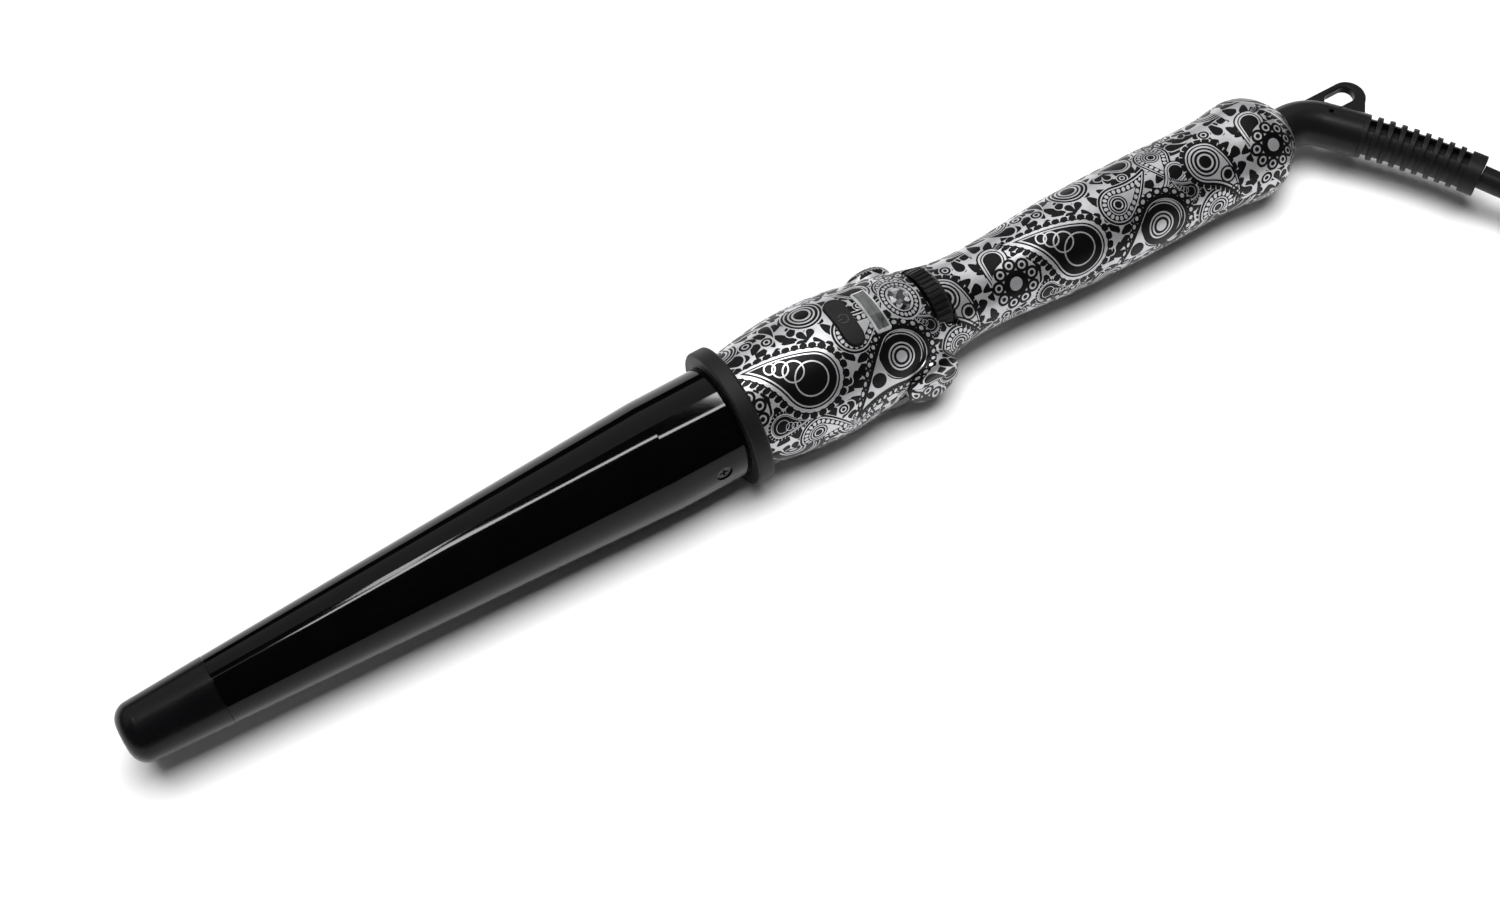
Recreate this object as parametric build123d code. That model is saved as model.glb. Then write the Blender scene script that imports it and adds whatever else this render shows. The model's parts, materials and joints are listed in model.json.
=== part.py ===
from build123d import *
from math import cos, pi, radians, sin, tan
import os

# Curling wand. Millimetres, +Z up, standing on z = 0. While it is built, X runs along the wand from
# the tip (-X) to the cord (+X), with x = 0 at the front face of the guard ring and z = 0 on the axis.
# The barrel lies along that axis. The handle droops slightly, so that the wand rests on its guard ring
# and on the flare at the end of the handle.

# ---- driving dimensions ------------------------------------------------------------------------
DROOP = 1.5                      # degrees that the handle's axis falls behind the guard
GUARD_R, GUARD_L = 20.0, 5.0
BARREL_BASE_R, BARREL_TIP_R = 16.0, 9.6
BARREL_FRONT, TAPER_END, BARREL_REAR = -149.0, -20.7, 3.0
BARREL_WALL = 1.5
TIP_L, TIP_END_R, TIP_CORNER = 26.3, 8.5, 5.0
TIP_STEM_L = 12.0

WALL = 2.0                       # handle shells
HANDLE_FRONT, HANDLE_END = 5.5, 188.5
CAVITY_FRONT, CAVITY_END = 8.2, 180.0
HANDLE_OUTLINE = [               # (x, radius): hub, bulge, waist, grip, flare and rounded end
    (5.5, 16.3), (13.5, 17.9), (21.0, 18.9), (30.0, 19.35), (40.0, 18.75), (50.0, 17.3),
    (62.0, 14.9), (71.0, 12.75), (81.0, 11.9), (93.0, 12.4), (108.0, 13.7), (124.0, 14.2),
    (145.0, 14.2), (162.0, 13.95), (169.5, 14.45), (176.0, 15.25), (181.5, 14.2), (186.0, 11.0),
    (188.5, 8.6)]
PARTING_GAP = 0.24

EAR_X, EAR_Z, EAR_R, EAR_Y, EAR_EDGE = 57.0, -2.6, 8.6, 19.5, 2.8
STAND_FOLD = 20.0                # degrees below level of the folded stand
STAND_REACH, STAND_HALF, STAND_CORNER = 22.0, 17.7, 14.0
STAND_BAR, STAND_THICK, STAND_EYE_R = 2.2, 3.2, 3.6
STAND_SWING = 82.0               # degrees from folded to open
STAND_PIN_R, PIN_CLEAR = 1.5, 0.05
CLEAR = 0.4                      # between moving pieces

BUTTON_X, BUTTON_L, BUTTON_W = 38.3, 15.8, 5.6
BUTTON_PROUD = 1.1
LENS_X, LENS_W, LENS_L, LENS_PROUD = 47.0, 4.9, 14.6, 0.6
BADGE_X, BADGE_RX, BADGE_RY = 56.2, 2.9, 4.1
DIAL_X0, DIAL_X1, DIAL_R, DIAL_Z = 63.5, 69.0, 10.6, 5.2
DIAL_RIBS, DIAL_RIB_H, DIAL_SIDE, DIAL_ROOM = 38, 0.45, 0.7, 0.5
BOARD_X0, BOARD_X1, BOARD_Z, BOARD_T, BOARD_W = 14.0, 54.0, 3.5, 1.6, 24.0

NECK_R = 6.5
NECK_X0, ELBOW_X, ELBOW_RUN, ELBOW_TURN, ELBOW_BEND_R = 170.0, 198.5, 17.0, 51.0, 12.0
BUSH_R = 8.2
HOOK_T, HOOK_TOP, HOOK_R = 3.0, 4.7, 5.4
HOOK_SLOT_X, HOOK_SLOT_Y, HOOK_SLOT_L, HOOK_SLOT_W = 211.9, 0.1, 9.7, 5.6
RELIEF_L, RELIEF_COLLAR, RELIEF_RIBS, RELIEF_CURVE = 36.0, 4.6, 9, 10.0
RELIEF_R0, RELIEF_R1, RELIEF_WEB, RELIEF_BORE = 6.45, 6.1, 1.15, 3.6
RELIEF_WINDOW = 4.8

CORD_D = 7.0
CORD_LENGTH = 2500.0
COIL_R, COIL_PITCH, COIL_LAYERS, LAYER_TURNS = 37.68, 7.2, 4, 2.375
COIL_X, COIL_Y, OVER_R = 323.2, -31.0, 40.5
TIE_T, TIE_W = 0.8, 9.0
PLUG_W, PLUG_T, PLUG_L, PLUG_TAIL = 35.3, 13.7, 33.0, 15.0
PIN_R, PIN_L, PIN_SPACING, SLEEVE_L = 2.0, 19.0, 18.6, 10.0
PIN_ROOT_R, SLEEVE_R, PIN_END = 1.4, 1.8, 1.2

CORD_R = CORD_D / 2


# ---- helpers -----------------------------------------------------------------------------------
def rod(radius, x0, x1, y=0.0, z=0.0):
    """A round bar along X."""
    return Pos((x0 + x1) / 2, y, z) * Rot(0, 90, 0) * Cylinder(radius, x1 - x0)


def post(radius, z0, z1, x=0.0, y=0.0):
    """A round bar along Z."""
    return Pos(x, y, (z0 + z1) / 2) * Cylinder(radius, z1 - z0)


def cross_pin(radius, y0, y1, x, z):
    """A round bar along Y."""
    return Pos(x, (y0 + y1) / 2, z) * Rot(90, 0, 0) * Cylinder(radius, y1 - y0)


def block(x0, x1, y0, y1, z0, z1):
    """A box between two corners."""
    return Pos((x0 + x1) / 2, (y0 + y1) / 2, (z0 + z1) / 2) * Box(x1 - x0, y1 - y0, z1 - z0)


def turned(points):
    """A solid of revolution about X from a closed outline of (x, radius)."""
    return revolve(Plane.XZ * make_face(Polyline(*points, close=True)), Axis.X)


def barrel_radius(x):
    """Outer radius of the barrel at x."""
    if x > TAPER_END:
        return BARREL_BASE_R
    share = (x - BARREL_FRONT) / (TAPER_END - BARREL_FRONT)
    return BARREL_TIP_R + share * (BARREL_BASE_R - BARREL_TIP_R)


def handle_form(outset=0.0):
    """The handle's outer form, grown or shrunk in radius."""
    outline = Spline(*[(x, r + outset) for x, r in HANDLE_OUTLINE])
    (x0, r0), (x1, r1) = HANDLE_OUTLINE[0], HANDLE_OUTLINE[-1]
    rest = Polyline((x1, r1 + outset), (x1, 0), (x0, 0), (x0, r0 + outset))
    return revolve(Plane.XZ * make_face([outline, rest]), Axis.X)


def wire(radius, points, radii):
    """A round wire along straight runs joined by tangent arcs."""
    path = FilletPolyline(*points, radius=radii)
    start = Plane(origin=path @ 0, z_dir=path % 0)
    return sweep(start * Circle(radius), path=path)


# ---- barrel and tip ------------------------------------------------------------------------------
def barrel():
    """Tapered aluminium tube with two screw holes near its base."""
    inner_front, inner_base = BARREL_TIP_R - BARREL_WALL, BARREL_BASE_R - BARREL_WALL
    tube = turned([(BARREL_FRONT, inner_front), (BARREL_FRONT, BARREL_TIP_R),
                   (TAPER_END, BARREL_BASE_R), (BARREL_REAR, BARREL_BASE_R),
                   (BARREL_REAR, inner_base), (TAPER_END, inner_base)])
    for spot in screw_spots():
        tube -= spot * Cylinder(BARREL_SCREW_HOLE, 6)
    return tube


BARREL_SCREW_X, BARREL_SCREW_TURN = -8.2, 81.0
BARREL_SCREW_HOLE, BARREL_SCREW_HEAD, BARREL_SCREW_SHANK = 2.35, 2.2, 1.1


def screw_spots():
    """Places on the barrel's surface of the two opposed screws, with Z along each screw."""
    spots = []
    for turn in (BARREL_SCREW_TURN, BARREL_SCREW_TURN + 180):
        spots.append(Pos(BARREL_SCREW_X, 0, 0) * Rot(turn, 0, 0) * Pos(0, 0, BARREL_BASE_R))
    return spots


def barrel_screws():
    """Two recessed cross-head screws that hold the barrel on its seat."""
    screws = []
    for spot in screw_spots():
        head = Pos(0, 0, -1.0) * Cylinder(BARREL_SCREW_HEAD, 0.9)
        shank = Pos(0, 0, -2.9) * Cylinder(BARREL_SCREW_SHANK, 3.2)
        screw = head + shank
        for turn in (0, 90):
            screw -= Pos(0, 0, -0.8) * Rot(0, 0, turn) * Box(2.6, 0.6, 0.8)
        screws.append(spot * screw)
    return Compound(children=screws)


def cool_tip():
    """Rounded heat-resistant tip with a stem that plugs into the barrel."""
    end = BARREL_FRONT - TIP_L
    shoulder = end + TIP_CORNER
    flat = TIP_END_R - TIP_CORNER
    corner = RadiusArc((shoulder, TIP_END_R), (end, flat), -TIP_CORNER)
    stem_r = BARREL_TIP_R - BARREL_WALL - 0.05
    stem = BARREL_FRONT + TIP_STEM_L
    rest = Polyline((end, flat), (end, 0), (stem, 0), (stem, stem_r), (BARREL_FRONT, stem_r),
                    (BARREL_FRONT - 0.15, stem_r), (BARREL_FRONT - 0.15, BARREL_TIP_R + 0.05),
                    (shoulder, TIP_END_R))
    return revolve(Plane.XZ * make_face([corner, rest]), Axis.X)


SEAT_R, SEAT_BORE, SEAT_FRONT, SEAT_REAR = 14.4, 11.8, -18.0, 10.9
SEAT_NECK_R, SEAT_FLANGE_R, SEAT_STEP = 13.0, 13.9, 8.7


def barrel_seat():
    """Insulating collar that carries the barrel and is clamped between the handle shells."""
    seat = turned([(SEAT_FRONT, SEAT_BORE), (SEAT_FRONT, SEAT_R), (BARREL_REAR, SEAT_R),
                   (BARREL_REAR, SEAT_NECK_R), (SEAT_STEP, SEAT_NECK_R), (SEAT_STEP, SEAT_FLANGE_R),
                   (SEAT_REAR, SEAT_FLANGE_R), (SEAT_REAR, SEAT_BORE)])
    for spot in screw_spots():
        seat -= spot * Pos(0, 0, -3.0) * Cylinder(BARREL_SCREW_SHANK, 4.0)
    return seat


def guard_ring():
    """Rubbery heat guard between the barrel and the handle."""
    ring = rod(GUARD_R, 0, GUARD_L)
    ring = fillet(ring.edges().filter_by(GeomType.CIRCLE), 0.9)
    return ring - rod(BARREL_BASE_R + 0.15, -1, BARREL_REAR + 0.2) - rod(13.4, 0, GUARD_L + 1)


HEATER_X0, HEATER_X1, HEATER_HALF_W, HEATER_T = -112.0, -42.0, 4.6, 1.4


def heater_plates():
    """Two ceramic heater plates, back to back."""
    plates = [block(HEATER_X0, HEATER_X1, -HEATER_HALF_W, HEATER_HALF_W, 0.05, HEATER_T),
              block(HEATER_X0, HEATER_X1, -HEATER_HALF_W, HEATER_HALF_W, -HEATER_T, -0.05)]
    return Compound(children=plates)


def pressure_shoes():
    """Two tapered half-round aluminium shoes that press the heaters' warmth into the barrel."""
    def fit(x):
        return barrel_radius(x) - BARREL_WALL * 1.02 - 0.1
    bar = turned([(HEATER_X0, 0), (HEATER_X0, fit(HEATER_X0)), (HEATER_X1, fit(HEATER_X1)), (HEATER_X1, 0)])
    reach = BARREL_BASE_R
    gap = HEATER_T + 0.05
    upper = bar & block(HEATER_X0, HEATER_X1, -reach, reach, gap, reach)
    lower = bar & block(HEATER_X0, HEATER_X1, -reach, reach, -reach, -gap)
    return Compound(children=[upper, lower])


def temperature_sensor():
    """Glass bead sensor on its stem behind the shoes."""
    return rod(1.1, -41.5, -31.0, z=7.0) + rod(0.5, -31.0, -22.0, z=7.0)


def thermal_fuse():
    """One-shot thermal fuse with its two lead ends."""
    return rod(2.0, -34.0, -22.0, z=-6.0) + rod(0.5, -38.0, -18.0, z=-6.0)


def heater_leads():
    """Two insulated leads from the heaters back to the circuit board."""
    leads = []
    for side in (-1, 1):
        y = side * 3.2
        points = [(HEATER_X1 + 0.3, y, 0.75), (2.0, y, 0.6), (17.0, y, 1.3), (21.0, y, 1.3)]
        leads.append(wire(0.8, points, [12.0, 12.0]))
    return Compound(children=leads)


# ---- handle shells ---------------------------------------------------------------------------------
SCREW_SPOTS = [(19.0, 10.4), (104.0, 7.2), (152.0, 7.6)]
BOSS_R, SCREW_R, SCREW_HEAD_R, HEAD_DEPTH = 2.9, 1.25, 2.3, 7.0


def stand_frame():
    """Frame of the folded stand: X forward along its arms, Y along the pivot axis."""
    return Pos(EAR_X, 0, EAR_Z) * Rot(0, -STAND_FOLD, 0) * Rot(0, 0, 180)


def stand_face(half, reach, corner, bar):
    """U-shaped face of the stand's bail, open at the pivot end."""
    outer = RectangleRounded(2 * reach, 2 * half, corner)
    inner = RectangleRounded(2 * (reach - bar), 2 * (half - bar), corner - bar)
    return (outer - inner) & (Pos(reach, 0) * Rectangle(2 * reach, 4 * half))


def stand_rooms(grow):
    """Spaces that the stand's bail needs while it swings, with a margin all round."""
    face = stand_face(STAND_HALF + grow, STAND_REACH + grow, STAND_CORNER + grow, STAND_BAR + 2 * grow)
    rooms = []
    for side in (-1, 1):
        edges = sorted((side * (STAND_HALF - STAND_BAR - grow), side * (STAND_HALF + grow)))
        rooms.append(cross_pin(STAND_EYE_R + grow + 0.2, edges[0], edges[1], EAR_X, EAR_Z))
    for turn in (0.0, STAND_SWING):
        rooms.append(stand_frame() * Rot(0, turn, 0) * extrude(face, STAND_THICK / 2 + grow, both=True))
    rooms.append(stand_frame() * revolve(face, Axis.Y, STAND_SWING))
    return rooms


def ears():
    """Two rounded side bosses that hold the stand's pivots."""
    bar = cross_pin(EAR_R, -EAR_Y, EAR_Y, EAR_X, EAR_Z)
    return fillet(bar.edges().filter_by(GeomType.CIRCLE), EAR_EDGE)


def handle_cavity():
    """Space inside the handle, short of the walls round the stand's recess."""
    reach = GUARD_R + 5
    hollow = handle_form(-WALL) & block(CAVITY_FRONT, CAVITY_END, -reach, reach, -reach, reach)
    for room in stand_rooms(CLEAR + 1.5):
        hollow -= room
    return hollow


def shell_blank():
    """Handle with both ears, hollow, with its front and rear openings and the stand's recess."""
    blank = handle_form() + ears()
    for room in stand_rooms(CLEAR):
        blank -= room
    blank -= handle_cavity()
    blank -= rod(13.4, HANDLE_FRONT - 1, CAVITY_FRONT + 1)
    blank -= rod(BUSH_R + 0.05, CAVITY_END - 1, HANDLE_END + 1)
    for side in (-1, 1):
        edges = sorted((side * 12.0, side * (EAR_Y - 0.9)))
        blank -= cross_pin(STAND_PIN_R, edges[0], edges[1], EAR_X, EAR_Z)
    return blank


def screw_places():
    """Centres of the six shell screws."""
    return [(x, side * y) for x, y in SCREW_SPOTS for side in (-1, 1)]


def shell_half(blank, sign):
    """One half of the blank, above (+1) or below (-1) the parting plane."""
    far = sign * (GUARD_R + 10)
    near = sign * PARTING_GAP / 2
    z0, z1 = sorted((near, far))
    return blank & block(0, 200, -30, 30, z0, z1)


def handle_upper_shell(blank):
    """Upper shell with the openings for button, lens, badge and dial, and the screw pillars."""
    reach = GUARD_R
    shell = shell_half(blank, 1)
    room = handle_form(-WALL / 2)
    for x, y in screw_places():
        shell += (post(BOSS_R, PARTING_GAP / 2, reach, x, y) & room)
    shell -= Pos(BUTTON_X, 0, reach / 2) * extrude(
        Rot(0, 0, 90) * SlotOverall(BUTTON_L + 0.5, BUTTON_W + 0.5), reach / 2, both=True)
    shell -= block(LENS_X - LENS_W / 2, LENS_X + LENS_W / 2, -LENS_L / 2, LENS_L / 2, 8, reach)
    shell -= Pos(BADGE_X, 0, badge_floor()) * extrude(Ellipse(BADGE_RX + 0.05, BADGE_RY + 0.05), 5)
    shell -= rod(DIAL_R + DIAL_ROOM, DIAL_X0 - DIAL_SIDE - 0.1, DIAL_X1 + 0.5, z=DIAL_Z)
    shell -= block(BOARD_X0 - 0.3, BOARD_X1 + 0.3, -BOARD_W / 2 - 0.2, BOARD_W / 2 + 0.2, 3.2, 5.4)
    for x, y in screw_places():
        shell -= post(1.0, -1, 8.0, x, y)
    return shell


def handle_lower_shell(blank):
    """Lower shell with the stand's recess and the six screw wells."""
    shell = shell_half(blank, -1)
    room = handle_form(-WALL / 2)
    for x, y in screw_places():
        shell += (post(BOSS_R, -GUARD_R, -PARTING_GAP / 2, x, y) & room)
    for x, y in screw_places():
        shell -= post(SCREW_R, -GUARD_R, 1, x, y)
        shell -= post(SCREW_HEAD_R, -GUARD_R, -HEAD_DEPTH, x, y)
    shell -= rod(DIAL_R + DIAL_ROOM, DIAL_X0 - DIAL_SIDE - 0.1, DIAL_X1 + 0.5, z=DIAL_Z)
    return shell


def shell_screws():
    """Six cross-head screws from below."""
    screws = []
    for x, y in screw_places():
        screw = post(SCREW_HEAD_R - 0.2, -HEAD_DEPTH - 1.6, -HEAD_DEPTH, x, y)
        screw += post(1.0, -HEAD_DEPTH, 6.0, x, y)
        for turn in (0, 90):
            screw -= Pos(x, y, -HEAD_DEPTH - 1.3) * Rot(0, 0, turn) * Box(2.6, 0.6, 0.8)
        screws.append(screw)
    return Compound(children=screws)


# ---- electronics -----------------------------------------------------------------------------------
SWITCH_H, SWITCH_HALF = 4.0, 3.0
BUTTON_FOOT_Z = 13.2
BOARD_TOP = BOARD_Z + BOARD_T


def circuit_board():
    """Main board with notches round the front screw pillars."""
    board = block(BOARD_X0, BOARD_X1, -BOARD_W / 2, BOARD_W / 2, BOARD_Z, BOARD_TOP)
    for x, y in screw_places():
        board -= post(BOSS_R + 0.3, 0, 8, x, y)
    return board


def film_capacitor():
    return fillet(block(24.5, 33.0, -10.5, -4.5, BOARD_TOP, BOARD_TOP + 7.0).edges().filter_by(Axis.Z), 0.6)


def triac():
    """Power switch standing on its three legs."""
    body = block(26.0, 27.6, 3.0, 8.4, BOARD_TOP + 1.2, BOARD_TOP + 7.0)
    for y in (4.2, 5.7, 7.2):
        body += block(26.6, 27.0, y - 0.3, y + 0.3, BOARD_TOP, BOARD_TOP + 1.2)
    return body


def controller_chip():
    """Controller with two rows of legs."""
    chip = block(29.5, 34.5, -3.0, 1.2, BOARD_TOP + 0.2, BOARD_TOP + 1.7)
    for step in range(4):
        x = 30.1 + step * 1.27
        for y0, y1 in ((-4.0, -3.0), (1.2, 2.2)):
            chip += block(x - 0.2, x + 0.2, y0, y1, BOARD_TOP, BOARD_TOP + 0.5)
    return chip


def tact_switch():
    """Push switch below the power button."""
    body = block(BUTTON_X - SWITCH_HALF, BUTTON_X + SWITCH_HALF, -SWITCH_HALF, SWITCH_HALF,
                 BOARD_TOP, BOARD_TOP + SWITCH_H)
    return body - post(1.8, BOARD_TOP + 1.0, BOARD_TOP + SWITCH_H + 1, BUTTON_X)


def switch_plunger():
    """Plunger that the button's foot rests on."""
    return post(1.75, BOARD_TOP + 2.2, BUTTON_FOOT_Z, BUTTON_X)


def power_button():
    """Obround button, crowned to follow the handle, with a retaining foot under the shell."""
    slot = Rot(0, 0, 90) * SlotOverall(BUTTON_L, BUTTON_W)
    foot = Rot(0, 0, 90) * SlotOverall(BUTTON_L + 1.6, BUTTON_W + 2.0)
    top = Pos(BUTTON_X, 0, BUTTON_FOOT_Z) * extrude(slot, 12)
    crown = top & handle_form(BUTTON_PROUD)
    crown = fillet(crown.edges().sort_by(Axis.Z)[-2:], 0.3)
    return crown + Pos(BUTTON_X, 0, BUTTON_FOOT_Z) * extrude(foot, 1.0)


def display_module():
    """Small numeric display under the lens."""
    return block(LENS_X - 3.0, LENS_X + 3.0, -6.3, 6.3, BOARD_TOP, 13.8)


def display_lens():
    """Clear window, slightly proud of the shell."""
    blank = block(LENS_X - LENS_W / 2 + 0.05, LENS_X + LENS_W / 2 - 0.05,
                  -LENS_L / 2 + 0.05, LENS_L / 2 - 0.05, 14.2, GUARD_R + 2)
    return blank & handle_form(LENS_PROUD)


def badge_floor():
    """Height of the flat floor of the badge's recess."""
    return 15.2


def badge_jewel():
    """Oval clear stone: a cylinder with a bevelled crown."""
    stone = extrude(Ellipse(BADGE_RX, BADGE_RY), 1.6)
    stone = chamfer(stone.faces().sort_by(Axis.Z)[-1].edges(), 0.8)
    return Pos(BADGE_X, 0, badge_floor() + 0.02) * stone


POT_X0, POT_X1, POT_R, SHAFT_R = 56.8, 61.6, 6.2, 1.6


def potentiometer():
    """Temperature control in front of the dial, with a clear bore for its shaft."""
    body = rod(POT_R, POT_X0, POT_X1, z=DIAL_Z)
    body += block(POT_X0 + 1.0, POT_X1 - 1.0, -4.0, 4.0, DIAL_Z - 8.6, DIAL_Z)
    return body - rod(SHAFT_R + PIN_CLEAR, POT_X0 + 1.0, POT_X1 + 1, z=DIAL_Z)


def dial_shaft():
    """Shaft that turns with the dial."""
    return rod(SHAFT_R, POT_X0 + 1.3, DIAL_X1, z=DIAL_Z)


def temperature_dial():
    """Knurled thumb wheel with bevelled rims, pressed on its shaft."""
    outline = []
    for step in range(2 * DIAL_RIBS):
        radius = DIAL_R if step % 2 == 0 else DIAL_R - DIAL_RIB_H
        turn = pi * (step + 0.5) / DIAL_RIBS
        for part in (-0.32, 0.32):
            angle = turn + part * pi / DIAL_RIBS
            outline.append((radius * cos(angle), radius * sin(angle)))
    wheel = extrude(make_face(Polyline(*outline, close=True)), DIAL_X1 - DIAL_X0)
    wheel = Pos(DIAL_X0, 0, DIAL_Z) * Rot(0, 90, 0) * wheel
    bevel = 1.3
    limit = turned([(DIAL_X0, 0), (DIAL_X0, DIAL_R - 0.4), (DIAL_X0 + 0.4, DIAL_R),
                    (DIAL_X1 - bevel, DIAL_R), (DIAL_X1, DIAL_R - bevel), (DIAL_X1, 0)])
    return (wheel & (Pos(0, 0, DIAL_Z) * limit)) - rod(SHAFT_R, DIAL_X0 - 1, DIAL_X1 + 1, z=DIAL_Z)


# ---- stand -----------------------------------------------------------------------------------------
def stand_bail():
    """U-shaped stand with an eye round each pivot pin."""
    face = stand_face(STAND_HALF, STAND_REACH, STAND_CORNER, STAND_BAR)
    bail = stand_frame() * extrude(face, STAND_THICK / 2, both=True)
    for side in (-1, 1):
        edges = sorted((side * (STAND_HALF - STAND_BAR), side * STAND_HALF))
        bail += cross_pin(STAND_EYE_R, edges[0], edges[1], EAR_X, EAR_Z)
        bail -= cross_pin(STAND_PIN_R + PIN_CLEAR, edges[0] - 1, edges[1] + 1, EAR_X, EAR_Z)
    return bail


def stand_pins():
    """Two steel pins pressed into the ears."""
    pins = []
    for side in (-1, 1):
        edges = sorted((side * 12.6, side * (EAR_Y - 1.0)))
        pins.append(cross_pin(STAND_PIN_R, edges[0], edges[1], EAR_X, EAR_Z))
    return Compound(children=pins)


# ---- swivel ----------------------------------------------------------------------------------------
def swivel_bush():
    """Bearing bush in the end of the handle."""
    return rod(BUSH_R, CAVITY_END + 0.4, HANDLE_END - 0.3) - rod(NECK_R + PIN_CLEAR, 170, 200)


def elbow_points():
    """Start, corner and end of the elbow's centre line."""
    turn = radians(ELBOW_TURN)
    end = (ELBOW_X + ELBOW_RUN * cos(turn), -ELBOW_RUN * sin(turn), 0.0)
    return [(NECK_X0, 0.0, 0.0), (ELBOW_X, 0.0, 0.0), end]


CLIP_X0, CLIP_X1, CLIP_GROOVE_R, NECK_STEP_X = 178.6, 179.8, 5.1, 178.3
RING_SPOTS = [171.4, 174.9]
RING_L, RING_R, RING_SEAT_R = 2.0, 6.1, 5.5


def swivel_elbow():
    """Bent neck with a flat hang loop in line with the handle."""
    points = elbow_points()
    path = FilletPolyline(*points, radius=ELBOW_BEND_R)
    start = Plane(origin=path @ 0, z_dir=path % 0)
    elbow = sweep(start * Circle(NECK_R), path=path)
    loop_end = HOOK_SLOT_X + 2.4
    plate = make_face(Polyline((200.0, -2.0), (199.0, HOOK_TOP), (loop_end, HOOK_TOP),
                               (HOOK_SLOT_X + 2.0, -8.0), (205.0, -10.0), close=True))
    plate += Pos(loop_end, HOOK_TOP - HOOK_R) * Circle(HOOK_R)
    plate += make_face(Polyline((loop_end, HOOK_TOP - HOOK_R), (loop_end + HOOK_R * cos(radians(25)),
                                HOOK_TOP - HOOK_R - HOOK_R * sin(radians(25))), (213.0, -10.5),
                                (206.0, -11.5), close=True))
    plate -= Pos(HOOK_SLOT_X, HOOK_SLOT_Y) * SlotOverall(HOOK_SLOT_L, HOOK_SLOT_W)
    loop = extrude(plate, HOOK_T / 2, both=True)
    loop = fillet(loop.faces().sort_by(Axis.Z)[-1].edges() + loop.faces().sort_by(Axis.Z)[0].edges(), 0.45)
    elbow += loop
    elbow -= Pos(HOOK_SLOT_X, HOOK_SLOT_Y) * extrude(SlotOverall(HOOK_SLOT_L, HOOK_SLOT_W), 8, both=True)
    elbow -= rod(9.0, NECK_X0 - 1, NECK_STEP_X) - rod(RING_SEAT_R, NECK_X0 - 2, NECK_STEP_X + 1)
    elbow -= rod(9.0, CLIP_X0 - 0.05, CLIP_X1 + 0.05) - rod(CLIP_GROOVE_R, CLIP_X0 - 1, CLIP_X1 + 1)
    for x, y, radius in ((203.2, -5.2, 0.75), (207.2, -4.9, 0.6)):
        elbow -= post(radius, 3.0, 9.0, x, y)
    return elbow


def swivel_retainer():
    """Clip in the neck's groove that keeps the elbow in the handle."""
    return rod(9.2, CLIP_X0, CLIP_X1) - rod(CLIP_GROOVE_R, CLIP_X0 - 1, CLIP_X1 + 1)


def slip_rings():
    """Two brass rings that carry the supply over the swivel."""
    return Compound(children=[rod(RING_R, x, x + RING_L) - rod(RING_SEAT_R, x - 1, x + RING_L + 1)
                              for x in RING_SPOTS])


BRUSH_X0, BRUSH_GAP = 164.5, 0.3
LEAD_HOLE_R = 2.8


def contact_brushes():
    """Two leaf springs, one beside each slip ring."""
    leaves = []
    for x, side in zip(RING_SPOTS, (-1, 1)):
        inner = RING_R + BRUSH_GAP
        y0, y1 = sorted((side * inner, side * (inner + 0.4)))
        leaves.append(block(BRUSH_X0 - 1.5, x + RING_L, y0, y1, -1.0, 1.0))
    return Compound(children=leaves)


def brush_holder():
    """Insulating disc that carries the brushes, with a hole for the supply leads."""
    disc = rod(11.6, BRUSH_X0 - 1.5, BRUSH_X0 + 1.5) - rod(LEAD_HOLE_R, 150, 180, z=-7.8)
    for x, y in screw_places():
        disc -= post(BOSS_R + 0.2, -20, 20, x, y)
    for brush in contact_brushes().solids():
        disc -= brush
    return disc


def supply_leads():
    """Two leads from the brush holder forward under the dial to the board."""
    leads = []
    for side in (-1, 1):
        y = side * 1.8
        points = [(BRUSH_X0 + 1.4, y, -7.8), (62.5, y, -7.8), (48.5, y, 1.3), (44.5, y, 1.3)]
        leads.append(wire(0.85, points, [8.0, 6.0]))
    return Compound(children=leads)


def relief_spot(distance):
    """Frame on the strain relief's gently curved centre line, Z along it."""
    start = elbow_points()[-1]
    bend_r = RELIEF_L / radians(RELIEF_CURVE)
    turn = radians(RELIEF_CURVE) * distance / RELIEF_L
    base = radians(ELBOW_TURN)
    x = start[0] + bend_r * (sin(base + turn) - sin(base))
    y = start[1] - bend_r * (cos(base) - cos(base + turn))
    heading = base + turn
    return Plane(origin=(x, y, 0), x_dir=(0, 0, 1), z_dir=(cos(heading), -sin(heading), 0))


def relief_path(x0=0.0, x1=RELIEF_L):
    """Arc along the strain relief between two distances."""
    points = [relief_spot(x0).origin, relief_spot((x0 + x1) / 2).origin, relief_spot(x1).origin]
    return ThreePointArc(*points)


def strain_relief():
    """Flexible ribbed sleeve with windows between its ribs and a collar at its end."""
    ribbed = RELIEF_L - RELIEF_COLLAR
    pitch = ribbed / RELIEF_RIBS
    body = sweep(relief_spot(0) * Circle(RELIEF_R0 - RELIEF_WEB), path=relief_path())
    for rib in range(RELIEF_RIBS + 1):
        share = rib / RELIEF_RIBS
        radius = RELIEF_R0 + share * (RELIEF_R1 - RELIEF_R0)
        if rib < RELIEF_RIBS:
            ring = extrude(relief_spot(rib * pitch) * Circle(radius), pitch * 0.46)
        else:
            ring = extrude(relief_spot(ribbed) * Circle(radius), RELIEF_COLLAR)
        body += fillet(ring.edges().filter_by(GeomType.CIRCLE), 0.25)
    for rib in range(RELIEF_RIBS):
        gap = relief_spot((rib + 0.46) * pitch)
        body -= extrude(gap * Rectangle(30, RELIEF_WINDOW), pitch * 0.54)
    return body - sweep(relief_spot(0) * Circle(RELIEF_BORE), path=relief_path())


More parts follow.
